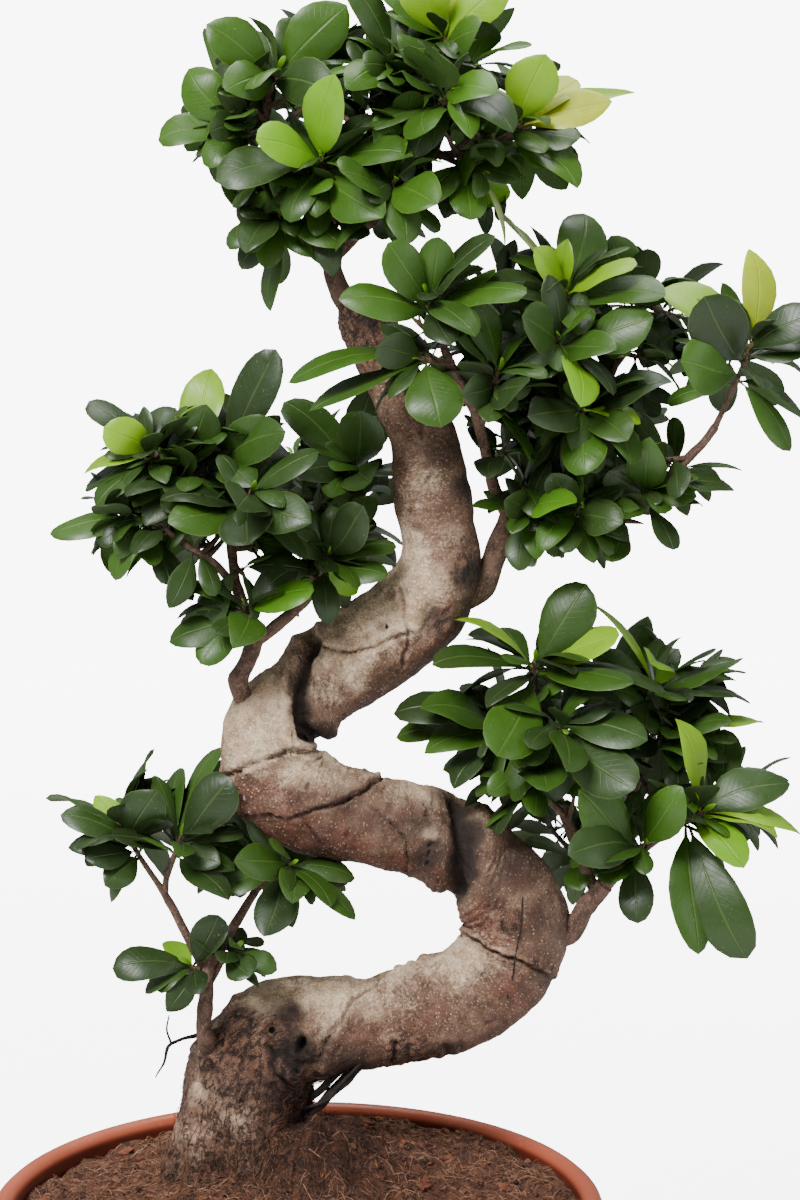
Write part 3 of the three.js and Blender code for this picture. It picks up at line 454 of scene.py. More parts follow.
def fibre_bed(name, count, seed, material, heaped=False):
    """Fibres strewn all over the mix, or only where it is heaped."""
    chance = random.Random(seed)
    paths = []
    while len(paths) < count:
        x, y = spot_on_soil(chance)
        if chance.random() > (near_heap(x, y) if heaped else 1 - 0.3 * near_heap(x, y)):
            continue
        heading = 2 * math.pi * chance.random()
        bend = chance.uniform(-0.18, 0.18)
        stride = chance.uniform(*FIBRE_LENGTH) / FIBRE_STEPS
        lift = chance.uniform(0.2, 2)
        path = []
        for i in range(FIBRE_STEPS + 1):
            path.append((x, y, soil_height(x, y) + lift * math.sin(math.pi * i / FIBRE_STEPS) + 0.1))
            x += stride * math.cos(heading)
            y += stride * math.sin(heading)
            heading += bend + chance.uniform(-0.16, 0.16)
            if math.hypot(x, y) > soil_edge - 1:
                x, y = (value * 0.98 for value in (x, y))
        paths.append((np.array(path), chance.uniform(*FIBRE_RADIUS)))
    threads(name, paths, "soil", material)


fibre_bed("soil_fibres_brown", FIBRES, 11, fibre_brown)
fibre_bed("soil_fibres_tan", FIBRES_TAN, 12, fibre_tan)
fibre_bed("soil_fibres_dark", FIBRES_DARK, 13, fibre_dark, heaped=True)

# The heap is matted with fine black roots that stand out of it and curl back.
chance = random.Random(14)
curls = []
while len(curls) < SHAG:
    x, y = spot_on_soil(chance)
    if chance.random() > near_heap(x, y) ** 2:
        continue
    place = np.array((x, y, soil_height(x, y) - 0.5))
    way = unit(np.array((chance.uniform(-1, 1), chance.uniform(-1, 1), chance.uniform(0.1, 1))))
    stride = chance.uniform(*SHAG_REACH) / FIBRE_STEPS
    path = [place]
    for _ in range(FIBRE_STEPS):
        path.append(path[-1] + stride * way)
        way = unit(way + [chance.uniform(-0.6, 0.6), chance.uniform(-0.6, 0.6), chance.uniform(-0.8, 0)])
    curls.append((np.array(path), chance.uniform(*FIBRE_RADIUS)))
threads("root_mat", curls, "soil", fibre_dark)


# Bark chips and crumbs
# Flat orange-brown chips of pine bark and round dark crumbs lie half sunk in the mix, each turned its own
# way. One chip and one crumb are modelled, and each copy has its own size and turn.
CHIPS = 150
BARK_BITS = 1000
CRUMBS = 1900

chip_bark = loose_material("chip_bark", colour(88, 44, 27), colour(132, 74, 48), colour(162, 102, 70), 120)


def copied(name, model, places):
    """Many copies of a modelled piece in one mesh. Each place is a centre and a 3 by 3 turn and size."""
    corners = np.array([vertex.co for vertex in model.data.vertices])
    shapes = [tuple(face.vertices) for face in model.data.polygons]
    points = [corners @ turn.T + centre for centre, turn in places]
    faces = [tuple(index + k * len(corners) for index in face) for k in range(len(places)) for face in shapes]
    bpy.data.objects.remove(model)
    return mesh_piece(name, np.concatenate(points), faces)


def scattered(model, name, count, seed, sizes, flatness, sunk, material, most_heap=1):
    """Copies of a modelled bit strewn on the mix, except where it is heaped more than that."""
    chance = random.Random(seed)
    places = []
    while len(places) < count:
        x, y = spot_on_soil(chance)
        if near_heap(x, y) > most_heap:
            continue
        size = chance.uniform(*sizes)
        turn, lean, tilt = chance.uniform(0, 6.28), chance.uniform(-0.5, 0.5), chance.uniform(-0.5, 0.5)
        spin = np.array(((math.cos(turn), -math.sin(turn), 0),
                         (math.sin(turn), math.cos(turn), 0),
                         (0, 0, 1)))
        lie = np.array(((1, 0, lean), (0, 1, tilt), (-lean, -tilt, 1)))
        stretch = np.diag((size, size * chance.uniform(0.4, 0.8), size * flatness * chance.uniform(0.7, 1.3)))
        middle = np.array((x, y, soil_height(x, y) + size * flatness * (1 - 2 * sunk)))
        places.append((middle, lie @ spin @ stretch))
    finish_piece(copied(name, model, places), "soil", material)


def chip_model():
    """A flat bit with broken corners, two units wide."""
    bpy.ops.mesh.primitive_cube_add(size=2)
    chip = bpy.context.object
    bpy.ops.object.mode_set(mode="EDIT")
    bpy.ops.mesh.select_all(action="SELECT")
    bpy.ops.mesh.bevel(offset=0.35, segments=1)
    bpy.ops.object.mode_set(mode="OBJECT")
    for vertex in chip.data.vertices:
        vertex.co *= 1 + 0.35 * noise.noise(vertex.co * 1.3)
    return chip


scattered(chip_model(), "bark_chips", CHIPS, 21, (1.4, 4.2), 0.2, 0.4, chip_bark, most_heap=0.3)
scattered(chip_model(), "bark_bits", BARK_BITS, 23, (0.6, 2.2), 0.35, 0.2, fibre_brown, most_heap=0.35)

bpy.ops.mesh.primitive_ico_sphere_add(subdivisions=1, radius=1)
crumb = bpy.context.object
for vertex in crumb.data.vertices:
    vertex.co *= 1 + 0.4 * noise.noise(vertex.co * 2.1)
scattered(crumb, "soil_crumbs", CRUMBS, 22, (0.5, 1.9), 0.8, 0.35, soil_mix)


# Trunk
# One thick swollen fig stem, trained into an S while it grew. Its thin bark is reddish brown underneath,
# dotted with pale pores, creased where it folds over itself, and rough below. Painted light makes it pale
# where it faces up, and painted shade darkens it underneath, in its creases, cracks and pits.
TRUNK_DEPTH = 45

# Points of the plant are written [x, z, depth, ...]: x and z as seen on the upright plane through the
# trunk, and how far back the point lies along that line of sight. Here a radius follows.
TRUNK_LINE = [
    (-28, 168, 50, 33), (-28, 196, 50, 32.5), (-27, 225, 48, 29.5), (-22, 249, 46, 28.5),
    (-8, 266, 45, 24.5), (12, 269, 45, 22), (35, 272, 45, 20), (55, 277, 45, 22),
    (78, 286, 46, 23), (93, 302, 47, 23.5), (98, 318, 47, 23.5), (92, 333, 48, 22),
    (82, 344, 49, 20), (72, 352, 48, 21.5), (50, 361, 45, 20), (29, 366, 42, 20),
    (8, 372, 38, 22), (-9, 381, 35, 21.5), (-14, 397, 36, 21), (-12, 411, 43, 20),
    (0, 420, 50, 20), (13, 431, 54, 20), (30, 442, 52, 20.5), (45, 453, 50, 21),
    (57, 466, 48, 21), (62, 481, 47, 19), (61, 500, 46, 17), (59, 520, 45, 16.5),
    (54, 540, 45, 14), (45, 558, 45, 13.2), (36, 576, 46, 13.5), (28, 591, 46, 12), (24, 599, 46, 6),
]
TRUNK_AROUND = 132
TRUNK_RINGS_EACH = 21

# Creases in front and behind: the seen points of a line, its half width, its depth, less than 0 for a
# ridge, and the step up on its left side
CREASES = [
    ([(7, 445), (3, 436), (0.5, 425), (0.5, 414), (3, 406), (9, 401)], 2.8, 6.5, 0.5),
    ([(71, 379), (73, 366), (74, 354), (73, 343), (71, 332)], 4.4, 8, 0.5),
    ([(-32, 384), (-24, 390), (-15, 393), (-4, 397), (3, 396), (12, 400)], 0.9, 1.9, 1.5),
    ([(-30, 369), (-22, 367), (-9, 366), (0, 367), (11, 371), (24, 375), (30, 378), (38, 386)],
     0.8, 2.3, 1.7),
    ([(27, 375), (36, 368), (45, 359), (49, 352), (48, 340)], 0.7, 1.3, 0.7),
    ([(0, 366), (5, 360), (10, 352)], 0.6, 1.1, 0.5),
    ([(-3, 404), (-4, 400), (-4, 395)], 0.6, 1.1, 0),
    ([(12, 443), (24, 441), (37, 446), (46, 450), (50, 451)], 0.8, 1.7, 1.1),
    ([(45, 469), (47, 459), (49, 453), (48, 443), (46, 435)], 0.8, 1.5, 0.6),
    ([(66, 529), (57, 518), (52, 510), (49, 503)], 0.7, 1.2, 0.8),
    ([(42, 295), (39, 292), (33, 287), (24, 282), (20, 275), (17, 269), (11, 261), (9, 254)], 0.9, 1.7, 1.9),
    ([(64, 298), (59, 291), (57, 284)], 0.7, 1.2, 0.6),
    ([(49, 276), (46, 272), (44, 266)], 0.6, 1.1, 0.4),
    ([(43, 261), (42, 253)], 1.0, 2.4, 0),
    ([(70, 314), (82, 307), (93, 302), (104, 297), (112, 293)], 0.8, 1.8, 1.3),
    ([(99, 303), (88, 297), (75, 290)], 0.6, 1.1, 0.4),
    ([(-39, 266), (-42, 256), (-45, 243)], 1.8, -2.4, 0.3),
    ([(-33, 262), (-35, 250), (-38, 238)], 1.4, -1.6, 0.3),
    ([(-24, 256), (-25, 244), (-30, 232)], 1.6, -1.4, 0.3),
    ([(-50, 240), (-51, 228), (-54, 216)], 2.2, -1.8, 0.3),
    ([(85, 340), (87.5, 331), (86, 322), (86.5, 313), (83.5, 304)], 0.5, 0.6, 0.2),
    ([(56, 372), (58, 358), (57, 345)], 0.8, 1.3, 0.5),
    ([(-30, 277), (-29, 271), (-25, 264)], 0.7, 1.4, 0.8),
    ([(-13, 259), (-12, 248), (-5, 241)], 1.6, 2.6, 1.2),
    ([(6, 448), (2, 440), (-4, 423)], 1.3, 1.5, 1),
    ([(-47, 262), (-40, 250), (-36, 236)], 1.1, 1.6, 0.8),
]
BACK_CREASES = [
    ([(-42, 236), (-30, 246), (-16, 249), (-6, 258)], 1.2, 2.4, 1.4),
    ([(8, 252), (14, 264), (16, 280), (22, 290)], 1.0, 2.2, 1.3),
    ([(52, 300), (60, 290), (66, 276), (78, 264)], 1.0, 2.0, 1.2),
    ([(74, 330), (86, 322), (100, 320), (114, 322)], 1.0, 2.2, 1.4),
    ([(62, 374), (66, 360), (64, 346), (70, 334)], 2.2, 5, 0.8),
    ([(28, 384), (24, 372), (28, 360), (26, 348)], 0.9, 1.8, 1.1),
    ([(-26, 378), (-14, 386), (-2, 386), (10, 392)], 1.0, 2.4, 1.5),
    ([(14, 440), (12, 430), (6, 420), (8, 406)], 2.4, 5, 0.8),
    ([(22, 452), (34, 446), (40, 436), (42, 428)], 0.9, 1.9, 1.2),
    ([(44, 478), (56, 470), (68, 466), (80, 466)], 0.9, 1.9, 1.2),
    ([(46, 520), (58, 514), (70, 512)], 0.8, 1.5, 1.0),
    ([(40, 560), (50, 552), (62, 550)], 0.8, 1.4, 0.9),
]
# Holes and knobs: x, z, reach, and how deep or high
HOLES = [
    (-14.2, 267.3, 2.1, 6), (0.5, 260.7, 2.1, 6), (37, 453, 1.6, 1.6), (41, 469, 1.8, 1),
    (48, 468, 2.4, 1.2), (60, 457, 4.4, 2.2), (4, 380, 1.2, 1.4), (53, 496, 1.8, 1.2), (21, 357, 1.2, 1.2),
    (92, 324, 2.4, 1.2), (66, 259, 2, 1.6),
]
KNOBS = [
    (-5, 275, 4.6, 3.4), (61, 364, 2.6, 2.6), (58.5, 357.5, 2.2, 2.6), (56, 369, 2, 1.4),
    (74.5, 337, 2.4, 3), (49.6, 469, 2.4, 2), (43, 470.5, 1.6, 1.4), (39, 260, 4, 2.2), (0, 445, 2.6, 1.6),
    (-43, 258, 5, 1.6), (66, 263, 4, 1.8), (-29, 281, 3, 1.8), (54, 258, 3, 1.8), (-16, 271, 4.5, 1.6),
    (-34, 247, 6, 2), (-10, 247, 5, 1.6), (84, 277, 5, 1.6), (101, 318, 6, 1.4),
]
# Patches of the bark: x, z, reach, strength. The pale places are partly the bark's own pale colour and partly
# painted light where it is lit; the dark places are partly its own stains and scars and partly painted shade
# in its hollows and where the leaves shade it
ROUGH_PLACES = [
    (-26, 222, 46, 1), (-6, 272, 8, 0.9), (-30, 252, 20, 0.9), (-8, 262, 12, 0.9), (-30, 272, 6, 0.6),
    (52, 254, 13, 0.6), (60, 364, 7, 0.4), (30, 588, 27, 1), (63, 455, 7, 0.8), (74, 478, 9, 0.6),
    (95, 318, 5, 0.9), (-21, 424, 8, 0.5), (54, 550, 14, 0.6), (84, 274, 12, 0.4), (108, 300, 8, 0.5),
]
PALE_AND_LIT_PLACES = [
    (-16, 410, 18, 1.6), (-18, 394, 9, 1.1), (2, 391, 11, 0.9), (14, 393, 9, 1), (22, 447, 14, 1.3),
    (32, 454, 13, 1.4), (48, 460, 12, 1.1), (24, 432, 9, 0.8), (48, 480, 12, 1), (58, 470, 9, 1.1),
    (46, 485, 14, 1.1), (15, 421, 8, 0.7), (12, 280, 11, 0.8), (24, 290, 10, 0.6), (-14, 285, 8, 1.3),
    (-30, 227, 10, 1.1), (-49, 218, 9, 1.4), (-42, 235, 9, 0.9), (54, 518, 9, 0.5), (56, 503, 9, 0.5),
    (43, 300, 9, 0.7), (74, 300, 11, 0.8), (-43, 258, 4, 0.9), (58, 358, 4, 0.9), (54, 380, 7, 0.6),
    (-3, 424, 6, 0.4),
]
BACK_PALE_PLACES = [
    (-14, 262, 16, 0.8), (30, 284, 18, 0.8), (70, 292, 14, 0.6), (100, 330, 14, 0.6), (70, 356, 12, 0.7),
    (20, 376, 16, 0.8), (-10, 398, 15, 0.8), (10, 430, 14, 0.8), (44, 458, 16, 0.8), (60, 490, 14, 0.7),
    (56, 528, 12, 0.6),
]
RED_PLACES = [
    (-19, 376, 13, 1), (0, 374, 15, 1), (-4, 357, 15, 1), (20, 351, 15, 0.9), (43, 341, 13, 0.9),
    (63, 341, 9, 0.7), (99, 342, 12, 0.8), (86, 316, 14, 1.2), (104, 318, 12, 0.8), (56, 276, 15, 0.7),
    (40, 276, 9, 0.6), (30, 267, 12, 0.6), (20, 368, 12, 0.8), (46, 368, 12, 0.7), (62, 457, 10, 1),
    (34, 454, 6, 1), (49, 522, 5, 1), (49.6, 469, 3, 1.2), (36, 576, 16, 0.5), (52, 352, 8, 0.6),
    (96, 285, 12, 0.7),
]
DARK_AND_SHADED_PLACES = [
    (-18, 372, 9, 0.4), (2, 372, 13, 0.5), (20, 373, 13, 0.55), (34, 366, 15, 0.45), (50, 362, 12, 0.8),
    (10, 358, 14, 0.4), (62, 374, 7, 0.5), (58, 350, 8, 1.1), (74, 358, 7, 1.8), (74, 344, 7, 1.8),
    (72, 370, 6, 0.9), (-1, 428, 5, 0.6), (2, 416, 6, 1), (10, 405, 7, 1), (76, 476, 9, 0.9),
    (73, 514, 7, 0.9), (75, 463, 7, 0.8), (99, 343, 15, 0.75), (110, 319, 16, 0.6), (88, 334, 12, 0.55),
    (111, 292, 7, 0.6), (66, 257, 10, 0.6), (22, 251, 13, 0.8), (-3, 258, 9, 1.3), (-5, 274, 7, 1.2),
    (-4, 268, 6, 1.1), (-24, 276, 8, 0.5), (-20, 243, 9, 0.4), (-6, 240, 12, 1.2), (2, 244, 8, 0.5),
    (64, 531, 10, 0.6), (64, 503, 8, 0.4), (33, 590, 14, 0.6),
]


def on_sight_lines(seen):
    """The places of points that are written [x, z, depth]."""
    x, z, depth = np.asarray(seen, float)[:, :3].T
    plane = np.stack((x, np.full_like(x, TRUNK_DEPTH), z), axis=1)
    return EYE + (plane - EYE) * ((depth - EYE[1]) / (TRUNK_DEPTH - EYE[1]))[:, None]


def seen_from_eye(points):
    """The x and z at which points are seen on the upright plane through the trunk."""
    shrink = (TRUNK_DEPTH - EYE[1]) / (points[:, 1] - EYE[1])
    return (EYE + (points - EYE) * shrink[:, None])[:, [0, 2]]


def smooth_line(knots, shares):
    """Points on a smooth curve through the knots, at shares of the way from the first to the last."""
    knots = np.vstack((2 * knots[0] - knots[1], knots, 2 * knots[-1] - knots[-2]))
    along = np.clip(shares, 0, 1) * (len(knots) - 3)
    index = np.minimum(along.astype(int), len(knots) - 4)
    rest = (along - index)[:, None]
    before, start, end, after = (knots[index + k] for k in range(4))
    leave, arrive = (end - before) / 2, (after - start) / 2
    return (start + rest * leave + rest ** 2 * (3 * (end - start) - 2 * leave - arrive)
            + rest ** 3 * (2 * (start - end) + leave + arrive))


def noise_at(points, size, seed):
    """Noise from -1 to 1 at each point, with lumps of that size."""
    return np.array([noise.noise(Vector(point)) for point in points / size + 17.3 * seed])


def smoothstep(value, low, high):
    """0 below low, 1 above high, and smooth between them."""
    share = np.clip((value - low) / (high - low), 0, 1)
    return share * share * (3 - 2 * share)


def from_line(places, line):
    """How far flat places lie from a line of points, and on which side: 1 is left of its way."""
    distance = np.full(len(places), np.inf)
    side = np.zeros(len(places))
    for start, end in zip(np.array(line[:-1], float), np.array(line[1:], float)):
        way = end - start
        share = np.clip(((places - start) @ way) / (way @ way), 0, 1)
        away = places - start - share[:, None] * way
        length = np.hypot(*away.T)
        nearer = length < distance
        distance[nearer] = length[nearer]
        side[nearer] = np.sign(way[0] * away[nearer, 1] - way[1] * away[nearer, 0])
    return distance, side


def bell(places, x, z, reach):
    """1 at a place, and less the further from it."""
    return np.exp(-(np.hypot(places[:, 0] - x, places[:, 1] - z) / reach) ** 2)


def shade_at(places, spots, seed):
    """The strongest of the spots at each place, with ragged edges."""
    ragged = places + 3.2 * np.stack([noise_at(skin, 11, seed), noise_at(skin, 11, seed + 1)], axis=1)
    return np.max([strength * bell(ragged, x, z, reach) for x, z, reach, strength in spots], axis=0)


bpy.ops.mesh.primitive_grid_add(x_subdivisions=TRUNK_AROUND,
                                y_subdivisions=TRUNK_RINGS_EACH * (len(TRUNK_LINE) - 1), size=2)
trunk = bpy.context.object
trunk.name = trunk.data.name = "trunk_bark"

# The grid is wound round the trunk's line: its x is the turn, and its y is the way along
flat = np.array([vertex.co for vertex in trunk.data.vertices])
turn = math.pi * flat[:, 0]
share = (flat[:, 1] + 1) / 2
middle_line = on_sight_lines(TRUNK_LINE)
middle = smooth_line(middle_line, share)
ahead = unit(smooth_line(middle_line, share + 0.002) - smooth_line(middle_line, share - 0.002))
front = unit(np.array((0.0, -1.0, 0.0)) + ahead * ahead[:, 1:2])
beside = np.cross(front, ahead)
outward = np.cos(turn)[:, None] * front + np.sin(turn)[:, None] * beside
radius = np.interp(share * (len(TRUNK_LINE) - 1), range(len(TRUNK_LINE)), [knot[3] for knot in TRUNK_LINE])
skin = middle + outward * radius[:, None]
seen = seen_from_eye(skin)
facing = smoothstep(np.cos(turn), -0.45, 0.05)

ring_steps = np.linalg.norm(np.diff(smooth_line(middle_line, np.linspace(0, 1, 400)), axis=0), axis=1)
along = np.interp(share, np.linspace(0, 1, 400), np.concatenate(([0], np.cumsum(ring_steps))))

# Relief in millimetres: broad swellings, lumps and pimples
drifting = noise_at(skin, 30, 1)
lumps = noise_at(skin, 13, 2)
pimples = noise_at(skin, 5, 3)
relief = 1.8 * drifting + 1.2 * lumps + 0.4 * pimples
relief += 0.7 * np.sin(3 * turn + along / 34 + 2 * drifting)

# Creases, holes and knobs, with ragged edges. Each crease has a lip beside it and fine folds around it. How
# dark each crease and hole is painted, as shade in its groove or pit, is kept for the bark's colour.
ragged = seen + 1.5 * np.stack([noise_at(skin, 8, 8), noise_at(skin, 8, 9)], axis=1)
ragged += 0.7 * np.stack([noise_at(skin, 2.4, 10), noise_at(skin, 2.4, 11)], axis=1)
crease = np.zeros(len(skin))
behind = smoothstep(-np.cos(turn), 0.05, 0.5)
for there, line, width, depth, step in ([(facing, *each) for each in CREASES]
                                        + [(behind, *each) for each in BACK_CREASES]):
    away, side = from_line(ragged, line)
    groove = np.exp(-(away / width) ** 2)
    fold = np.exp(-(away / (7 * width)) ** 2)
    relief += (-depth * groove + 0.3 * depth * np.exp(-((away - 2.6 * width) / (1.3 * width)) ** 2)) * there
    relief += (step * 0.5 * (1 + side) + 0.34 * np.sin(away * 1.9 + 3 * lumps)) * fold * there
    # How dark the crease is painted, as shade in its groove
    darkness = min(1.9, 1 + depth / 6) * np.clip(0.1 + depth / 5 + 0.5 * pimples, 0, 1)
    crease = np.maximum(crease, np.clip(groove * there * darkness, 0, 1))
for x, z, size, depth in HOLES:
    away = np.hypot(ragged[:, 0] - x, 0.75 * (ragged[:, 1] - z))
    pit = np.exp(-(away / size) ** 2) * facing
    relief += 0.35 * depth * np.exp(-((away - 1.9 * size) / (0.8 * size)) ** 2) * facing - depth * pit
    # A hole is painted dark as shade in its pit
    crease = np.maximum(crease, pit * min(1, depth / 3))
for x, z, size, height in KNOBS:
    relief += height * bell(ragged, x, z, size) * facing

# Rough bark, and the foot, which flares out into roots
back_below = (1 - facing) * smoothstep(skin[:, 2], 262, 214)
top_all_round = np.maximum(facing, smoothstep(skin[:, 2], 540, 580))
rough = np.maximum(shade_at(seen, ROUGH_PLACES, 12) * top_all_round, back_below)
rough = np.clip(rough * (1 + 0.6 * drifting + 0.4 * lumps), 0, 1)
relief += rough * (1.7 * noise_at(skin * (1, 1, 0.4), 3.8, 6) + 0.9 * noise_at(skin, 1.9, 7))
flare = smoothstep(-skin[:, 2], -240, -198)
relief += flare * (0.6 + 3 * np.cos(4 * turn + 1.1) + 1.8 * np.cos(7 * turn + 2) + 2 * lumps)
skin += outward * relief[:, None]
for vertex, point in zip(trunk.data.vertices, skin * MM):
    vertex.co = point


def carry(piece, **values):
    """Stores values on the piece's points, for its material to read."""
    kinds = {1: ("FLOAT", "value"), 3: ("FLOAT_VECTOR", "vector"), 4: ("FLOAT_COLOR", "color")}
    for name, value in values.items():
        table = np.asarray(value, np.float32).reshape(len(piece.data.vertices), -1)
        kind, slot = kinds[table.shape[1]]
        piece.data.attributes.new(name, kind, "POINT").data.foreach_set(slot, table.ravel())


straight = np.stack((radius * np.cos(turn), radius * np.sin(turn), along), axis=1) * MM
# The pale places go on partly as painted light, and the dark places and creases as painted shade
carry(trunk, crease=crease, rough=rough, straight=straight,
      pale=shade_at(seen, PALE_AND_LIT_PLACES, 14) * facing + shade_at(seen, BACK_PALE_PLACES, 20) * behind,
      dark=shade_at(seen, DARK_AND_SHADED_PLACES, 18) * facing,
      red=shade_at(seen, RED_PLACES, 16) * facing)
bpy.ops.object.mode_set(mode="EDIT")
bpy.ops.mesh.select_all(action="SELECT")
bpy.ops.mesh.remove_doubles(threshold=0.001 * MM)
bpy.ops.mesh.fill_holes(sides=0)
bpy.ops.mesh.normals_make_consistent(inside=False)
bpy.ops.object.mode_set(mode="OBJECT")

# How far the bark faces the lights, up and a little to the front and left. The bark is painted palest there
# as painted light, and darker away from them as painted shade
upward = np.array([vertex.normal for vertex in trunk.data.vertices]) @ unit(np.array((-0.3, -0.35, 0.9)))
carry(trunk, upward=upward)


def added(tree, *values):
    """The sum of shader values."""
    total, *rest = values
    for value in rest:
        total = sum_of(tree, "ADD", total, value)
    return total


def times(tree, *values):
    """The product of shader values."""
    total, *rest = values
    for value in rest:
        total = sum_of(tree, "MULTIPLY", total, value)
    return total


def tinted(tree, first, second):
    """Two colours multiplied."""
    return add_node(tree, "ShaderNodeMix", {0: 1.0, 6: first, 7: second}, data_type="RGBA",
                    blend_type="MULTIPLY").outputs[2]


def stretched(tree, place, *ratios):
    """A place that runs faster or slower along each axis."""
    return add_node(tree, "ShaderNodeVectorMath", {0: place, 1: ratios}, operation="MULTIPLY").outputs[0]


bark_places = np.array([vertex.co for vertex in trunk.data.vertices]) / MM
bark_normals = np.array([vertex.normal for vertex in trunk.data.vertices])
bark_seen = seen_from_eye(bark_places)
bark_hidden = ((EYE - bark_places) * bark_normals).sum(axis=1) < 0


def on_bark(x, z):
    """The number of the point of the bark that is seen at x and z."""
    return np.argmin(np.hypot(*(bark_seen - (x, z)).T) + 1000 * bark_hidden)


def near_spot(tree, seen_at, near, far):
    """1 near a spot on the bark and 0 beyond it, with a ragged edge."""
    place = add_node(tree, "ShaderNodeTexCoord").outputs["Object"]
    away = add_node(tree, "ShaderNodeVectorMath", {0: place, 1: bark_places[on_bark(*seen_at)] * MM},
                    operation="DISTANCE").outputs["Value"]
    ragged = times(tree, added(tree, object_noise(tree, 700, 4), -0.5), 2.5 * MM)
    return ramp(tree, added(tree, away, ragged), far * MM, near * MM)


# Four kinds of bark, each with its dark, middle and light shade and the scale that they drift at
BARK_TONES = {
    "even": ((94, 67, 50), (138, 107, 87), (190, 157, 130), 115),
    "pale": ((180, 148, 118), (228, 203, 172), (255, 240, 212), 130),
    "red": ((76, 43, 32), (124, 77, 59), (176, 128, 102), 120),
    "coarse": ((58, 35, 26), (138, 96, 74), (224, 184, 154), 260),
}
BARK_BUMP = 1.3
PIT_LEFT = (-14.2, 267.3)
PIT_RIGHT = (0.5, 260.7)
PIT_UPPER = (38.8, 453)

bark, tree, shader = new_material("trunk_skin", 0.68)
even, pale, red, coarse = (
    grouped(tree, drift, dark=colour(*dark), middle=colour(*middle), light=colour(*light), scale=scale)
    for dark, middle, light, scale in BARK_TONES.values())

# The even bark is painted pale where it faces the lights, as painted light, and turns reddish where it faces
# down
straight = named_attribute(tree, "straight", "Vector")
up = named_attribute(tree, "upward")
rough = named_attribute(tree, "rough")
pale_and_lit_spots = named_attribute(tree, "pale")
uneven = times(tree, added(tree, object_noise(tree, 60, 7, 0.65), -0.5), 2.1)
grain = object_noise(tree, 900, 5, 0.75)
rings = object_noise(tree, 420, 6, 0.7, stretched(tree, straight, 0.22, 0.22, 1))
fine = added(tree, grain, times(tree, rings, 0.5), -0.75)
paleness = added(tree, times(tree, pale_and_lit_spots, 1.05), times(tree, up, 0.5), uneven,
                 times(tree, fine, 1.2), -0.2)
redness = added(tree, times(tree, named_attribute(tree, "red"), 0.9), times(tree, up, -0.3), uneven, 0.05)
tone = mixed(tree, ramp(tree, redness, 0.0, 0.8), even["Colour"], red["Colour"])
tone = mixed(tree, ramp(tree, paleness, 0.0, 0.85), tone, pale["Colour"])
# Painted shade: the bark turns darker brown where it faces away from the lights
tone = tinted(tree, tone, mixed(tree, ramp(tree, added(tree, up, times(tree, uneven, 0.5)), -0.1, -0.85),
                                (1, 1, 1, 1), (0.4, 0.29, 0.23, 1)))
tone = tinted(tree, tone, mixed(tree, ramp(tree, added(tree, fine, 0.5), 0.3, 0.7),
                                (0.7, 0.67, 0.65, 1), (1.24, 1.22, 1.2, 1)))
tone = mixed(tree, times(tree, ramp(tree, rings, 0.4, 0.32), 0.4), tone, colour(70, 46, 34))

# Coarse bark with light dust, and cracks painted dark as shade
coarseness = added(tree, rough, uneven, times(tree, fine, 0.6), times(tree, pale_and_lit_spots, -0.2))
tone = mixed(tree, ramp(tree, coarseness, 0.2, 0.65), tone, coarse["Colour"])
dust = times(tree, pale_and_lit_spots, rough, ramp(tree, object_noise(tree, 330, 6, 0.8), 0.38, 0.58))
tone = mixed(tree, dust, tone, colour(236, 196, 168))
crevices = object_noise(tree, 210, 6, 0.62, stretched(tree, straight, 1, 1, 0.5))
crevices = sum_of(tree, "ABSOLUTE", added(tree, crevices, -0.5))
shaded_cracks = times(tree, ramp(tree, crevices, 0.045, 0.005), ramp(tree, coarseness, 0.25, 0.7))
# Painted shade: the cracks are darkened
tone = mixed(tree, times(tree, shaded_cracks, 0.75), tone, colour(34, 20, 14))

# Pale pores, dark stains and painted shade, and the creases and the deep pits darkened as painted shade
lenticels = add_node(tree, "ShaderNodeTexVoronoi", {
    "Vector": stretched(tree, straight, 0.6, 0.6, 1.15), "Scale": 760.0})
dot = added(tree, lenticels.outputs["Distance"], times(tree, lenticels.outputs["Color"], 0.26))
dot = times(tree, ramp(tree, dot, 0.4, 0.24), ramp(tree, rough, 0.5, 0.15),
            ramp(tree, object_noise(tree, 45, 3), 0.28, 0.46))
tone = mixed(tree, times(tree, dot, 0.72), tone, colour(226, 204, 176))
# The dark places are partly the bark's own stains and scars and partly painted shade
stain_and_shade = times(tree, named_attribute(tree, "dark"), added(tree, uneven, times(tree, fine, 2.0), 1))
tone = mixed(tree, times(tree, ramp(tree, stain_and_shade, 0.05, 0.95), 0.88), tone, colour(40, 26, 19))
# Painted shade in the creases and holes
tone = mixed(tree, times(tree, named_attribute(tree, "crease"), 0.94), tone, colour(34, 21, 16))
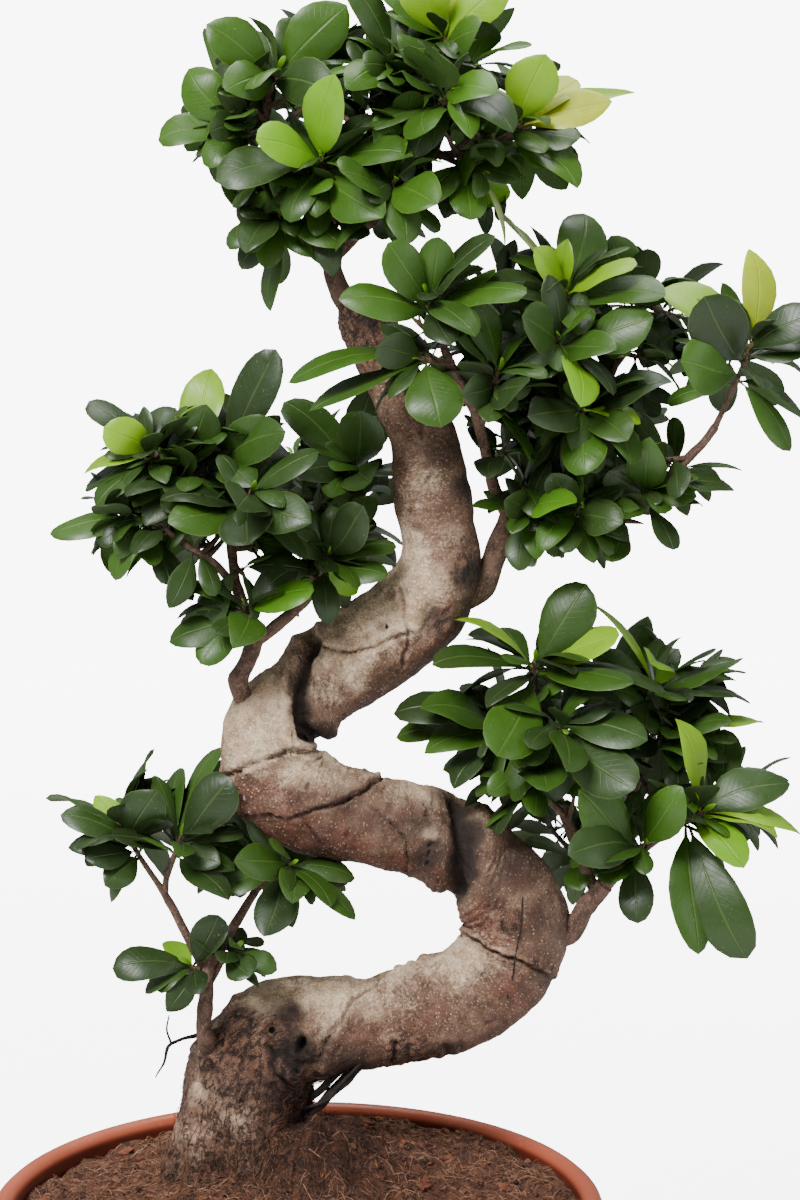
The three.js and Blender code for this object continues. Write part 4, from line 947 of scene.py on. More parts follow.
# Painted shade: the deep pits are painted near black, with a paler collar of the bark's own colour round the
# left one
pits = sum_of(tree, "MAXIMUM", near_spot(tree, PIT_LEFT, 1.3, 2.7), near_spot(tree, PIT_RIGHT, 1.2, 2.4))
pits = sum_of(tree, "MAXIMUM", pits, near_spot(tree, PIT_UPPER, 0.5, 1.2))
collar = times(tree, near_spot(tree, PIT_LEFT, 3, 4.4), ramp(tree, pits, 0.5, 0.1))
tone = mixed(tree, times(tree, collar, 0.7), tone, colour(184, 146, 116))
tone = mixed(tree, pits, tone, colour(14, 9, 7))
tree.links.new(tone, shader.inputs["Base Color"])
height = added(tree, times(tree, grain, 0.5), times(tree, rings, 0.3), object_noise(tree, 260, 7, 0.75),
               times(tree, pits, -3.0), times(tree, dot, 0.4), times(tree, shaded_cracks, -1.4),
               times(tree, coarse["Height"], ramp(tree, rough, 0.1, 0.9, 0.1, 2.2)))
bumped(tree, shader, height, BARK_BUMP)
finish_piece(trunk, "bark", bark, smooth=math.radians(70), nodes=["trunk"])


# Hanging roots
# Thin dark roots that bridge from the trunk's foot to the underside of its first bend, and one as thin as
# a hair that sticks out of the bark on the left.
HANGING_ROOTS = [
    [(0, 232, 38, 2), (10, 241, 33, 1.7), (24, 254, 36, 1.8)],
    [(2, 226, 36, 2), (15, 238, 30, 1.8), (32, 255, 35, 1.8)],
    [(4, 228, 42, 1.1), (14, 240, 40, 0.9), (29, 256, 40, 1)],
    [(1, 230, 33, 0.8), (14, 236, 27, 0.7), (27, 252, 30, 0.8)],
]
# Seen points of a root that clings to the bark of the lower bend
THREAD_ROOT = [(100.5, 329), (100, 318), (98, 302), (94, 282)]
THREAD_RADIUS = 0.3
HAIR_ROOTS = [
    [(-47, 265, 36, 0.9), (-55, 263, 33, 0.8), (-60, 260, 31, 0.7), (-62, 252, 30, 0.6), (-66, 245, 30, 0.3)],
    [(-59, 261, 31, 0.6), (-61, 268, 30, 0.5), (-60, 274, 29, 0.25)],
]
KNOT_SPACING = 5.5


def arm_lines(arms, placed=on_sight_lines):
    """The places and radii of arms that are written [x, z, depth, radius]."""
    return [(placed(arm), [knot[3] for knot in arm]) for arm in arms]


def branch(name, arms, slot, material, knots, sides=3, spacing=2.5, wobble=0.0, nodes=()):
    """Round arms that follow lines of points with their radii, as one mesh with closed ends."""
    curve = bpy.data.curves.new(name, "CURVE")
    curve.dimensions = "3D"
    curve.bevel_depth = MM
    curve.bevel_resolution = sides
    curve.use_fill_caps = True
    for number, (line, thickness) in enumerate(arms):
        length = np.linalg.norm(np.diff(line, axis=0), axis=1).sum()
        shares = np.linspace(0, 1, max(4, round(length / spacing)) + 1)
        points = smooth_line(line, shares)
        points += wobble * np.stack([noise_at(points, 9, 3 * number + k) for k in range(3)], axis=1)
        radii = np.interp(shares * (len(line) - 1), range(len(line)), thickness)
        rings = np.cos(shares * length / KNOT_SPACING + number) ** 8
        radii = radii * (1 + knots * (rings + 0.8 * noise_at(points, 5, number)))
        spline = curve.splines.new("POLY")
        spline.points.add(len(points) - 1)
        for point, place, radius in zip(spline.points, points * MM, radii):
            point.co = (*place, 1)
            point.radius = radius
    piece = bpy.data.objects.new(name, curve)
    bpy.context.collection.objects.link(piece)
    piece.select_set(True)
    bpy.context.view_layer.objects.active = piece
    bpy.ops.object.convert(target="MESH")
    bpy.ops.object.mode_set(mode="EDIT")
    bpy.ops.mesh.select_all(action="SELECT")
    bpy.ops.mesh.remove_doubles(threshold=0.001 * MM)
    bpy.ops.mesh.normals_make_consistent(inside=False)
    bpy.ops.object.mode_set(mode="OBJECT")
    finish_piece(piece, slot, material, smooth=math.radians(60), nodes=nodes)


root_bark = loose_material("root_bark", colour(20, 14, 12), colour(46, 32, 26), colour(84, 62, 50), 240, 0.85)
branch("hanging_roots", arm_lines(HANGING_ROOTS), "bark", root_bark, knots=0.12, wobble=1.2)
thread_line = np.array([bark_places[i] + THREAD_RADIUS * bark_normals[i]
                        for i in (on_bark(*spot) for spot in THREAD_ROOT)])
branch("hair_roots", [*arm_lines(HAIR_ROOTS), (thread_line, [THREAD_RADIUS] * len(thread_line))], "bark",
       root_bark, spacing=1.5, knots=0.15, wobble=0.8)


# Fibres on the foot
# The trunk's foot is shaggy with fine roots and coir fibres that hang down it, most of them on its right,
# above the heap. Each is a thin thread that follows the bark.
FOOT_FIBRES = 700
FOOT_FIBRES_DARK = 1300
FOOT_LEVELS = (200, 252)
FOOT_EDGE = 10
FOOT_STRIDE = (4, 13)
SHAG_STEPS = 4

bark_points = trunk.data.vertices
nearest_bark = KDTree(len(bark_points))
for vertex in bark_points:
    nearest_bark.insert(vertex.co / MM, vertex.index)
nearest_bark.balance()
foot_points = [vertex.index for vertex in bark_points if FOOT_LEVELS[0] < vertex.co.z / MM < FOOT_LEVELS[1]]


def foot_shag(name, count, seed, material, heaped):
    """Fibres that start on the foot's bark and hang down along it."""
    chance = random.Random(seed)
    paths = []
    while len(paths) < count:
        place = bark_points[chance.choice(foot_points)].co / MM
        right = 0.5 + 0.5 * math.tanh((place.x + 8) / 9)
        top = (place.z - FOOT_LEVELS[0]) / (FOOT_LEVELS[1] - FOOT_LEVELS[0])
        if place.x > FOOT_EDGE or chance.random() > (right if heaped else 1 - top):
            continue
        way = Vector((chance.uniform(-1, 1), chance.uniform(-1, 1), chance.uniform(-1.6, 0.3)))
        stride = chance.uniform(*FOOT_STRIDE) / SHAG_STEPS
        loose = chance.uniform(0.2, 1.8)
        path = []
        for i in range(SHAG_STEPS + 1):
            _, index, _ = nearest_bark.find(place)
            normal = bark_points[index].normal
            place = bark_points[index].co / MM + normal * (0.15 + loose * math.sin(math.pi * i / SHAG_STEPS))
            path.append(tuple(place))
            place = place + (way - normal * way.dot(normal)).normalized() * stride
        paths.append((np.array(path), chance.uniform(*FIBRE_RADIUS)))
    threads(name, paths, "bark", material)


foot_shag("foot_fibres", FOOT_FIBRES, 31, fibre_brown, heaped=False)
foot_shag("foot_fibres_dark", FOOT_FIBRES_DARK, 32, fibre_dark, heaped=True)


# Grafted stems
# Five slender stems grafted into the thick trunk, forked into arms. Their thin bark is reddish brown with
# paler corky rings and flecks.
STEMS = {
    "foot": [
        [(-40, 250, 38, 3.6), (-44, 266, 29, 3.8), (-43, 285, 28, 3.3), (-42, 307, 29, 3)],
        [(-43, 294, 28, 2.2), (-50, 309, 29, 2), (-59, 327, 31, 1.9), (-63, 334, 31, 1.6)],
        [(-61, 331, 31, 1.5), (-60, 340, 31, 1.3)],
        [(-42, 296, 29, 2.3), (-32, 313, 31, 2.2), (-22, 329, 34, 1.9), (-17, 336, 35, 1.7),
         (-11, 341, 38, 1.4)],
        [(-19, 333, 35, 1.6), (-22, 344, 40, 1.4)],
        [(-42, 288, 29, 1.6), (-36, 299, 30, 1.4)],
    ],
    "middle": [
        [(-18, 412, 40, 4.6), (-27, 426, 34, 4.4), (-23, 437, 32, 3.7), (-19, 447, 32, 3.4)],
        [(-19, 446, 32, 2.9), (-8, 455, 34, 2.6), (2, 464, 38, 2.4), (9, 473, 42, 2.2), (14, 486, 48, 2),
         (19, 500, 56, 1.8), (23, 512, 58, 1.6)],
        [(-19, 446, 32, 2.6), (-24, 461, 30, 2.4), (-28, 474, 30, 2.3), (-30, 490, 33, 2),
         (-33, 508, 38, 1.8), (-33, 517, 38, 1.5)],
        [(-26, 468, 30, 2), (-36, 480, 28, 1.8), (-46, 487, 27, 1.7), (-56, 494, 28, 1.5)],
        [(-30, 490, 33, 1.8), (-40, 503, 36, 1.7), (-50, 515, 37, 1.6), (-57, 524, 34, 1.4)],
    ],
    "lower": [
        [(102, 308, 48, 6.5), (121, 313, 46, 5.4), (129, 325, 43, 4.6), (137, 335, 41, 4)],
        [(134, 331, 42, 3), (127, 346, 48, 2.7), (121, 362, 51, 2.5), (114, 380, 50, 2.3),
         (109, 400, 46, 2.1), (107, 412, 44, 2), (105, 424, 40, 1.7)],
        [(135, 333, 42, 3), (145, 358, 55, 2.7), (151, 384, 58, 2.4), (154, 402, 57, 2), (156, 412, 55, 1.6)],
        [(136, 333, 42, 3), (148, 346, 39, 2.6), (160, 356, 36, 2.2), (168, 361, 34, 1.8)],
    ],
    "upper": [
        [(64, 463, 47, 7), (80, 470, 47, 6.6), (86, 482, 46, 5.3), (90, 494, 45, 4.7), (94, 504, 44, 4)],
        [(93, 502, 44, 3.1), (87, 514, 40, 2.8), (84, 526, 36, 2.6), (79, 545, 30, 2.4),
         (74, 556, 26, 2.2), (67, 570, 24, 2), (61, 584, 21, 1.7)],
        [(94, 502, 44, 3.1), (106, 519, 46, 2.8), (112, 533, 49, 2.6), (117, 547, 51, 2.4),
         (115, 564, 51, 2.2), (117, 580, 50, 1.9), (118, 590, 49, 1.6)],
        [(94, 502, 44, 3), (106, 500, 43, 2.7), (119, 499, 42, 2.6), (142, 503, 42, 2.4), (152, 507, 41, 2.3),
         (162, 518, 40, 2.2), (177, 533, 38, 2), (184, 542, 38, 1.8)],
        [(116, 541, 50, 2), (127, 552, 55, 1.8), (137, 563, 60, 1.7), (142, 577, 63, 1.5)],
        [(106, 519, 46, 2), (103, 540, 66, 1.8), (100, 562, 80, 1.5)],
    ],
    "crown": [
        [(32, 582, 46, 6), (22, 596, 46, 5), (16, 608, 45, 4.4), (15, 617, 45, 4)],
        [(15, 615, 45, 2.4), (3, 621, 45, 2.2), (-5, 629, 45, 2), (-10, 645, 45, 1.9),
         (-13, 661, 45, 1.8), (-13, 678, 44, 1.6), (-12, 686, 44, 1.4)],
        [(15, 615, 45, 3.2), (27, 627, 45, 2.9), (36, 636, 45, 2.7), (45, 651, 46, 2.4),
         (52, 665, 47, 2.2), (58, 684, 46, 1.9), (62, 698, 45, 1.6)],
        [(40, 643, 45, 2), (43, 664, 42, 1.8), (43, 688, 44, 1.5)],
        [(18, 619, 45, 1.9), (15, 636, 40, 1.7), (13, 648, 37, 1.5)],
        [(49, 659, 47, 2), (63, 660, 46, 1.8), (78, 661, 45, 1.8), (88, 666, 44, 1.5)],
        [(36, 636, 45, 2), (30, 654, 66, 1.8), (24, 674, 84, 1.5)],
        [(52, 665, 47, 2), (60, 675, 68, 1.8), (66, 688, 84, 1.5)],
    ],
}
# The stems and twigs reach this many times as far in front of and behind the trunk as their depths say.
DEPTH_SPREAD = 1.32


def spread_out(seen):
    """The places of points of the grafts, written [x, z, depth, ...]."""
    seen = np.array([knot[:3] for knot in seen], float)
    seen[:, 2] = TRUNK_DEPTH + DEPTH_SPREAD * (seen[:, 2] - TRUNK_DEPTH)
    return on_sight_lines(seen)


stem_bark = loose_material("stem_bark", colour(70, 48, 37), colour(116, 88, 72), colour(160, 134, 114),
                           150, 0.75)
for stem, arms in STEMS.items():
    branch(f"stem_{stem}_bark", arm_lines(arms, spread_out), "young_bark", stem_bark,
           spacing=1.8, knots=0.1, wobble=0.4, nodes=[f"stem_{stem}"])


# Leafy shoots
# Each shoot is a thin twig with a spray of thick glossy leaves: blunt, widest past the middle, drawn in to a
# short stalk, and folded a little along a lighter midrib. Old leaves are dark green, the newest lime or gold.
LEAF_STATIONS = np.array([0, 0.05, 0.12, 0.24, 0.38, 0.52, 0.66, 0.78, 0.88, 0.955, 1])
GOLDEN_ANGLE = math.radians(137.5)
LEAF_ARCH = 0.09
LEAF_SLIMNESS = 0.44
STALK_SHARE = 0.1
STALK_RADIUS = 0.75
BLADE_THICKNESS = 0.55
# How the blades differ from each other, least and most: the bends, turns and waves go both ways
ROOT_POWERS = (0.85, 1.2)
TIP_POWERS = (0.5, 0.88)
ARCHES = (0.3, 1.5)
FOLDS = (-0.04, 0.34)
YOUNG_FOLDS = (0.2, 0.5)
TIP_DROOPS = (-0.02, 0.08)
NARROWER = (0, 0.22)
TURN = 0.4
WAVE = 0.06
BEND = 0.05
YOUNG_TINTS = ("lime", "yellow", "gold", "fresh")
# A leaf's tip is tried so much deeper or nearer, until its shoot's solid has a corner that near to it
TIP_NUDGES = (0, 6, -6, 12, -12, 20, -20)
SAME_PLACE = 0.06
# Degrees by which a twig's lowest leaves stand off it, and how much less its top ones do
OPENING = 84
CLOSING = 44
SIDE_LEAVES = 5
FULLER_LEAVES = 8
FULLER_TURN = 1.9
FULLER_SIZE = 0.86
INNER_LEAVES = 8
INNER_SIZE = 0.9
INNER_DEPTH = 20
# How much the filling leaves' tint is darkened, as painted shade
INNER_PAINTED_SHADE = 0.88
FOLIAGE_REACH = 14
TWIG_RADII = (1.6, 1.3, 1.0, 0.25)
BUD_LENGTH = 9
BUD_WIDTH = 2.6
# Which part of a stem's arms has side twigs, from start to end, and how many each arm has
ARM_PARTS = {
    "middle": (0.5, 0.95, 7), "lower": (0.35, 0.95, 7), "upper": (0.12, 0.95, 7), "crown": (0.25, 0.95, 10),
}
ARM_TWIG_LENGTH = 13
ARM_TWIG_LEAVES = 6
ARM_TWIG_FEWEST = 3
ARM_LEAF_LENGTH = 27
# How many of the foliage's places must lie around a leaf that doesn't show plainly
ARM_FOLIAGE_NEEDED = 3
FOLIAGE_NEEDED = {"foot": 5, "middle": 4, "lower": 2, "upper": 3, "crown": 3}
TINTS = {
    "dark": colour(42, 60, 28), "green": colour(66, 106, 22), "bright": colour(84, 134, 28),
    "fresh": colour(108, 158, 26), "lime": colour(124, 168, 22), "yellow": colour(164, 184, 28),
    "gold": colour(150, 160, 8), "pale": colour(160, 184, 110),
}
# Places that are full of leaves though none of them shows plainly: x and z
FULL_PLACES = [
    (84, 552), (96, 552), (86, 540), (98, 540), (90, 528), (102, 528), (94, 516), (106, 514), (12, 513),
    (2, 505), (20, 503), (117, 421), (124, 412), (110, 413), (38, 690), (30, 682), (46, 684), (6, 660),
    (10, 650),
]
# How far the old leaves of a stem run from dark to green
GREENNESS = {"foot": 0.08, "middle": 0.2, "lower": 0.28, "upper": 0.3, "crown": 0.46}

# A shoot is its name, its stem, where its twig starts and ends, how many leaves stand around it and how long
# they are, the ends of its side twigs, and the leaves that show plainly. Each of these is the x, z and depth
# of its tip, its width, and its tint where it isn't dark.
SHOOTS = [
    ("foot_left", "foot", (-63, 334, 31), (-80, 362, 29), 4, 33, [(-70, 362, 60)], [
        (-88, 335, 12, 15), (-86, 327, 30, 6), (-96, 347, 12, 13), (-104, 353, 20, 10), (-107, 368, 20, 13),
        (-113, 377, 38, 6), (-64, 378, 16, 21), (-62, 384, 46, 16), (-66, 398, 44, 8),
        (-92, 376, 42, 11, "lime")]),
    ("foot_left_inner", "foot", (-60, 340, 31), (-54, 356, 28), 5, 33, [], [
        (-72, 362, 6, 12), (-36, 345, 14, 13), (-31, 384, 20, 22), (-37, 399, 48, 12), (-54, 389, 52, 8)]),
    ("foot_right", "foot", (-11, 341, 38), (-5, 344, 31), 3, 32, [], [
        (-36, 331, 24, 10), (-40, 340, 38, 8), (-3, 328, 4, 10), (6, 326, 28, 6), (14, 325, 10, 10),
        (25, 319, 18, 9), (24, 339, 44, 12), (-30, 346, 4, 15)]),
    ("foot_right_back", "foot", (-22, 344, 40), (-18, 352, 58), 6, 33, [(-34, 362, 80), (-4, 352, 80)], [
        (-50, 356, 34, 14), (-34, 372, 62, 9), (-20, 372, 62, 10), (16, 347, 72, 12)]),
    ("foot_stump_left", "foot", (-43, 292, 28), (-49, 297, 25), 1, 28, [], [
        (-61, 276, 16, 13), (-71, 286, 18, 6), (-36, 278, 44, 12), (-62, 309, 40, 10, "fresh"),
        (-85, 297, 16, 16), (-37, 321, 20, 17)]),
    ("foot_stump_right", "foot", (-36, 299, 30), (-32, 303, 29), 2, 24, [], [
        (-23, 292, 6, 14), (-23, 300, 40, 10), (-11, 296, 20, 9), (-26, 309, 36, 9)]),
    ("middle_tip", "middle", (-57, 524, 34), (-65, 532, 30), 3, 30, [], [
        (-90, 508, 16, 10), (-94, 513, 32, 9), (-95, 523, 28, 6, "lime"), (-92, 553, 38, 12),
        (-85, 541, 16, 17, "lime"), (-57, 552, 50, 10)]),
    ("middle_low_left", "middle", (-56, 494, 28), (-76, 503, 27), 5, 29, [], [
        (-57, 471, 10, 8), (-66, 480, 4, 13), (-46, 465, 22, 9), (-80, 484, 12, 11),
        (-73, 482, 34, 10, "fresh"), (-88, 489, 20, 9), (-110, 494, 26, 12), (-80, 512, 40, 8, "fresh")]),
    ("middle_crest_left", "middle", (-47, 511, 37), (-50, 526, 34), 5, 32, [], [
        (-76, 512, 4, 10), (-40, 552, 20, 20), (-38, 568, 50, 17, "lime"), (-60, 545, 58, 12)]),
    ("middle_crest", "middle", (-33, 517, 38), (-32, 532, 36), 4, 34, [], [
        (-6, 540, 4, 17), (-14, 547, 18, 19), (-9, 576, 28, 20), (-39, 547, 58, 18)]),
    ("middle_front", "middle", (-30, 493, 33), (-21, 513, 12), 3, 32, [], [
        (-56, 501, -4, 12), (-60, 512, 12, 8), (-22, 489, -14, 24), (-26, 507, -28, 20), (5, 500, -10, 20),
        (9, 531, 6, 13)]),
    ("middle_right_top", "middle", (23, 512, 58), (26, 524, 54), 4, 34, [], [
        (-6, 553, 56, 20), (28, 549, 32, 22), (38, 547, 62, 14), (33, 517, 16, 17), (0, 522, 28, 12)]),
    ("middle_right_low", "middle", (8, 472, 42), (13, 484, 32), 4, 32, [], [
        (12, 455, 16, 13), (26, 468, 46, 12, "fresh"), (39, 477, 18, 13), (43, 490, 26, 8),
        (-3, 495, 10, 10), (28, 506, 8, 18)]),
    ("middle_low", "middle", (-22, 453, 31), (-24, 461, 21), 1, 32, [], [
        (-44, 436, 10, 14), (-28, 445, -8, 18), (-58, 447, 12, 15), (6, 470, 8, 14, "bright"),
        (-46, 464, 34, 13), (-1, 480, 26, 12)]),
    ("middle_back", "middle", (-36, 500, 36), (-40, 510, 66), 6, 34, [(-60, 506, 82), (-32, 528, 90)], []),
    ("middle_right_back", "middle", (17, 495, 54), (12, 510, 82), 6, 34,
     [(26, 500, 98), (-2, 528, 96)], []),
    ("lower_crest", "lower", (105, 424, 40), (105, 436, 34), 2, 38, [], [
        (88, 394, -10, 26), (149, 427, 0, 12), (164, 425, 18, 9), (60, 438, 22, 11),
        (70, 457, 40, 6, "lime"), (143, 449, 20, 9, "lime"), (128, 472, 34, 24),
        (138, 444, 42, 8, "lime")]),
    ("lower_left", "lower", (108, 406, 45), (90, 405, 40), 3, 36, [], [
        (64, 388, 44, 9), (56, 398, 28, 14), (68, 381, 26, 10), (43, 404, 46, 10), (43, 416, 34, 12),
        (56, 418, 16, 13)]),
    ("lower_left_under", "lower", (119, 367, 51), (98, 391, 34), 4, 31, [], [
        (82, 361, 42, 6), (105, 367, 10, 15), (111, 379, -6, 18), (85, 377, 22, 11)]),
    ("lower_front", "lower", (107, 412, 44), (117, 406, 22), 4, 35, [], [
        (150, 379, -10, 24), (156, 401, -2, 14), (121, 389, -16, 16)]),
    ("lower_top_right", "lower", (156, 412, 55), (159, 426, 50), 4, 34, [(176, 426, 76)], [
        (195, 431, 62, 10), (196, 421, 34, 9), (198, 439, 42, 10), (130, 463, 48, 6, "lime"),
        (158, 438, 18, 9, "fresh")]),
    ("lower_right_spray", "lower", (153, 396, 57), (166, 404, 48), 3, 32, [], [
        (179, 391, 16, 12), (192, 392, 46, 6), (196, 400, 38, 6), (191, 404, 62, 7), (192, 412, 28, 8),
        (208, 410, 50, 6, "lime")]),
    ("lower_back", "lower", (150, 380, 58), (142, 412, 86), 6, 36, [(164, 404, 98), (122, 426, 100)], [
        (155, 458, 92, 12), (168, 444, 82, 12)]),
    ("lower_outer", "lower", (166, 360, 34), (180, 368, 30), 2, 34, [(196, 376, 58)], [
        (181, 303, 2, 20), (201, 301, 4, 24), (196, 353, 42, 9), (200, 343, 2, 13, "fresh"),
        (215, 358, 8, 8, "lime"), (220, 382, 32, 19), (226, 357, 24, 10, "lime"),
        (171, 411, 24, 9, "lime")]),
    ("lower_inner", "lower", (146, 344, 39), (154, 353, 20), 3, 34, [], [
        (139, 337, 2, 13), (123, 350, -10, 19), (127, 378, -4, 23), (170, 379, 2, 18)]),
    ("lower_fork", "lower", (129, 342, 46), (126, 348, 58), 6, 28, [(112, 362, 82)], [
        (126, 333, 34, 12)]),
    ("upper_front", "upper", (61, 584, 21), (57, 598, 13), 2, 34, [], [
        (20, 600, -8, 14), (100, 601, -6, 14), (40, 622, -2, 16), (62, 625, 4, 16), (87, 625, 2, 13),
        (78, 582, -16, 15)]),
    ("upper_front_low", "upper", (67, 570, 24), (54, 572, 11), 2, 30, [], [
        (33, 548, 16, 6), (5, 549, 6, 6), (-4, 561, 12, 6), (63, 543, -10, 25), (35, 578, -8, 17)]),
    ("upper_inner", "upper", (80, 541, 31), (88, 566, 12), 6, 32, [], [
        (100, 560, -14, 14), (72, 556, -8, 15), (76, 600, 0, 15)]),
    ("upper_crest", "upper", (118, 590, 49), (118, 601, 44), 2, 34, [], [
        (161, 600, 18, 14), (83, 603, 14, 11), (97, 620, 68, 18), (126, 636, 72, 24),
        (87, 635, 42, 5, "pale"), (148, 614, 28, 10, "lime"), (105, 620, 26, 9, "lime"),
        (118, 624, 38, 9, "lime")]),
    ("upper_crest_right", "upper", (142, 577, 63), (150, 599, 70), 6, 33, [(168, 590, 90)], [
        (164, 574, 60, 12), (137, 625, 62, 19)]),
    ("upper_centre", "upper", (115, 566, 51), (114, 580, 26), 4, 33, [], [
        (92, 562, 4, 13), (156, 590, 22, 18), (139, 577, 4, 11), (126, 553, -2, 6, "fresh"),
        (100, 590, -6, 15)]),
    ("upper_right_front", "upper", (124, 549, 54), (126, 549, 26), 3, 32, [], [
        (148, 528, 8, 14), (163, 564, 20, 15), (145, 537, 4, 14), (102, 547, 2, 15), (126, 523, 0, 20),
        (151, 544, 22, 6, "lime")]),
    ("upper_low", "upper", (105, 500, 43), (101, 505, 32), 3, 28, [], [
        (99, 479, 60, 14), (118, 491, 26, 10), (91, 509, 10, 14), (123, 508, 4, 13, "bright")]),
    ("upper_low_right", "upper", (122, 499, 42), (124, 505, 31), 5, 29, [], [
        (131, 481, 24, 10), (147, 492, 30, 10), (142, 500, 4, 17), (112, 521, 4, 14)]),
    ("upper_right_mid", "upper", (151, 507, 41), (153, 513, 34), 4, 30, [], [
        (176, 511, 24, 11), (137, 522, 12, 16), (155, 537, 16, 18), (193, 516, 38, 7)]),
    ("upper_outer", "upper", (183, 541, 38), (200, 580, 35), 3, 33, [(190, 572, 66)], [
        (162, 553, 40, 8), (217, 531, 26, 12), (169, 571, 12, 25), (222, 546, 46, 9), (178, 599, 10, 26),
        (226, 575, 30, 10), (229, 592, 22, 15), (160, 603, 50, 15, "lime"), (199, 620, 42, 18, "yellow")]),
    ("upper_outer_low", "upper", (163, 519, 40), (166, 524, 52), 6, 27, [], []),
    ("upper_back_left", "upper", (100, 562, 80), (90, 584, 88), 6, 35,
     [(68, 574, 100), (92, 600, 106)], []),
    ("upper_back_low", "upper", (103, 540, 66), (118, 548, 86), 6, 33,
     [(142, 540, 100), (104, 534, 104)], []),
    ("crown_left", "crown", (-12, 666, 45), (-27, 673, 41), 4, 33, [(-28, 684, 70)], [
        (-38, 656, 22, 12), (-60, 668, 38, 16), (-36, 671, 14, 14), (-47, 697, 44, 21)]),
    ("crown_left_top", "crown", (-12, 686, 44), (-8, 695, 40), 4, 34, [], [
        (15, 688, 6, 21), (-29, 689, 8, 18), (-38, 716, 30, 21), (22, 724, 38, 24),
        (3, 714, 50, 8, "gold")]),
    ("crown_left_front", "crown", (13, 648, 37), (11, 657, 27), 2, 34, [], [
        (37, 634, -4, 22), (-34, 651, 8, 12), (50, 661, 8, 11), (-17, 667, -4, 14, "fresh"),
        (16, 694, 8, 16, "fresh")]),
    ("crown_left_low", "crown", (-5, 629, 45), (-7, 633, 35), 3, 30, [], [
        (-14, 593, 32, 10), (-25, 612, 40, 11), (6, 617, 24, 13), (20, 621, 18, 13), (-22, 619, 6, 10),
        (-22, 639, 32, 16)]),
    ("crown_top", "crown", (62, 698, 45), (64, 710, 42), 2, 34, [], [
        (77, 714, 8, 14), (46, 706, 8, 12), (91, 734, 38, 18, "lime"), (36, 733, 38, 14),
        (68, 743, 48, 18, "yellow"), (52, 739, 30, 22, "lime")]),
    ("crown_front", "crown", (55, 674, 47), (66, 686, 22), 5, 34, [], [
        (55, 671, -6, 14), (94, 672, 2, 15), (86, 688, -4, 15), (60, 705, -6, 14)]),
    ("crown_right", "crown", (88, 666, 44), (97, 673, 41), 1, 32, [(98, 666, 70)], [
        (123, 648, 18, 15), (123, 656, 38, 9, "lime"), (123, 667, 26, 9), (108, 703, 28, 23, "lime"),
        (122, 692, 52, 12, "gold"), (137, 683, 38, 14, "gold"), (147, 686, 54, 9, "lime")]),
    ("crown_right_low", "crown", (63, 660, 46), (78, 654, 36), 4, 30, [], [
        (76, 634, 16, 16), (97, 650, 28, 9), (90, 638, 54, 14, "fresh"), (91, 621, 32, 5, "pale")]),
    ("crown_centre", "crown", (43, 688, 44), (42, 700, 38), 4, 32, [], [
        (22, 690, 10, 14), (30, 699, 2, 13), (25, 733, 32, 13), (60, 724, 36, 12)]),
    ("crown_inner", "crown", (37, 638, 45), (42, 648, 20), 6, 32, [], [
        (20, 654, -8, 10), (60, 640, -12, 18), (48, 622, -2, 14)]),
    ("crown_back_left", "crown", (24, 674, 84), (10, 688, 98), 7, 35, [(-8, 672, 102), (12, 702, 106)], []),
    ("crown_back_right", "crown", (66, 688, 84), (78, 700, 96), 7, 35,
     [(94, 686, 100), (62, 676, 108)], []),
]

# One ball is the model of all leaves. Its rings become the stations along a blade, from stalk to tip, and
# its left and right run across the blade.
bpy.ops.mesh.primitive_uv_sphere_add(segments=8, ring_count=len(LEAF_STATIONS) - 1, radius=1)
leaf_model = bpy.context.object
model_points = np.array([vertex.co for vertex in leaf_model.data.vertices])
model_faces = [tuple(face.vertices) for face in leaf_model.data.polygons]
bpy.data.objects.remove(leaf_model)
ring_share = np.arccos(np.clip(model_points[:, 2], -1, 1)) / math.pi
leaf_along = LEAF_STATIONS[np.rint(ring_share * (len(LEAF_STATIONS) - 1)).astype(int)]
girth = np.maximum(np.hypot(model_points[:, 0], model_points[:, 1]), 1e-6)
leaf_across = -model_points[:, 0] / girth * (np.abs(model_points[:, 2]) < 0.999)
leaf_side = model_points[:, 1] / girth * (np.abs(model_points[:, 2]) < 0.999)


def square_to(ahead, wanted):
    """The direction square to ahead that is nearest to the wanted one."""
    return unit(wanted - ahead * (wanted @ ahead))


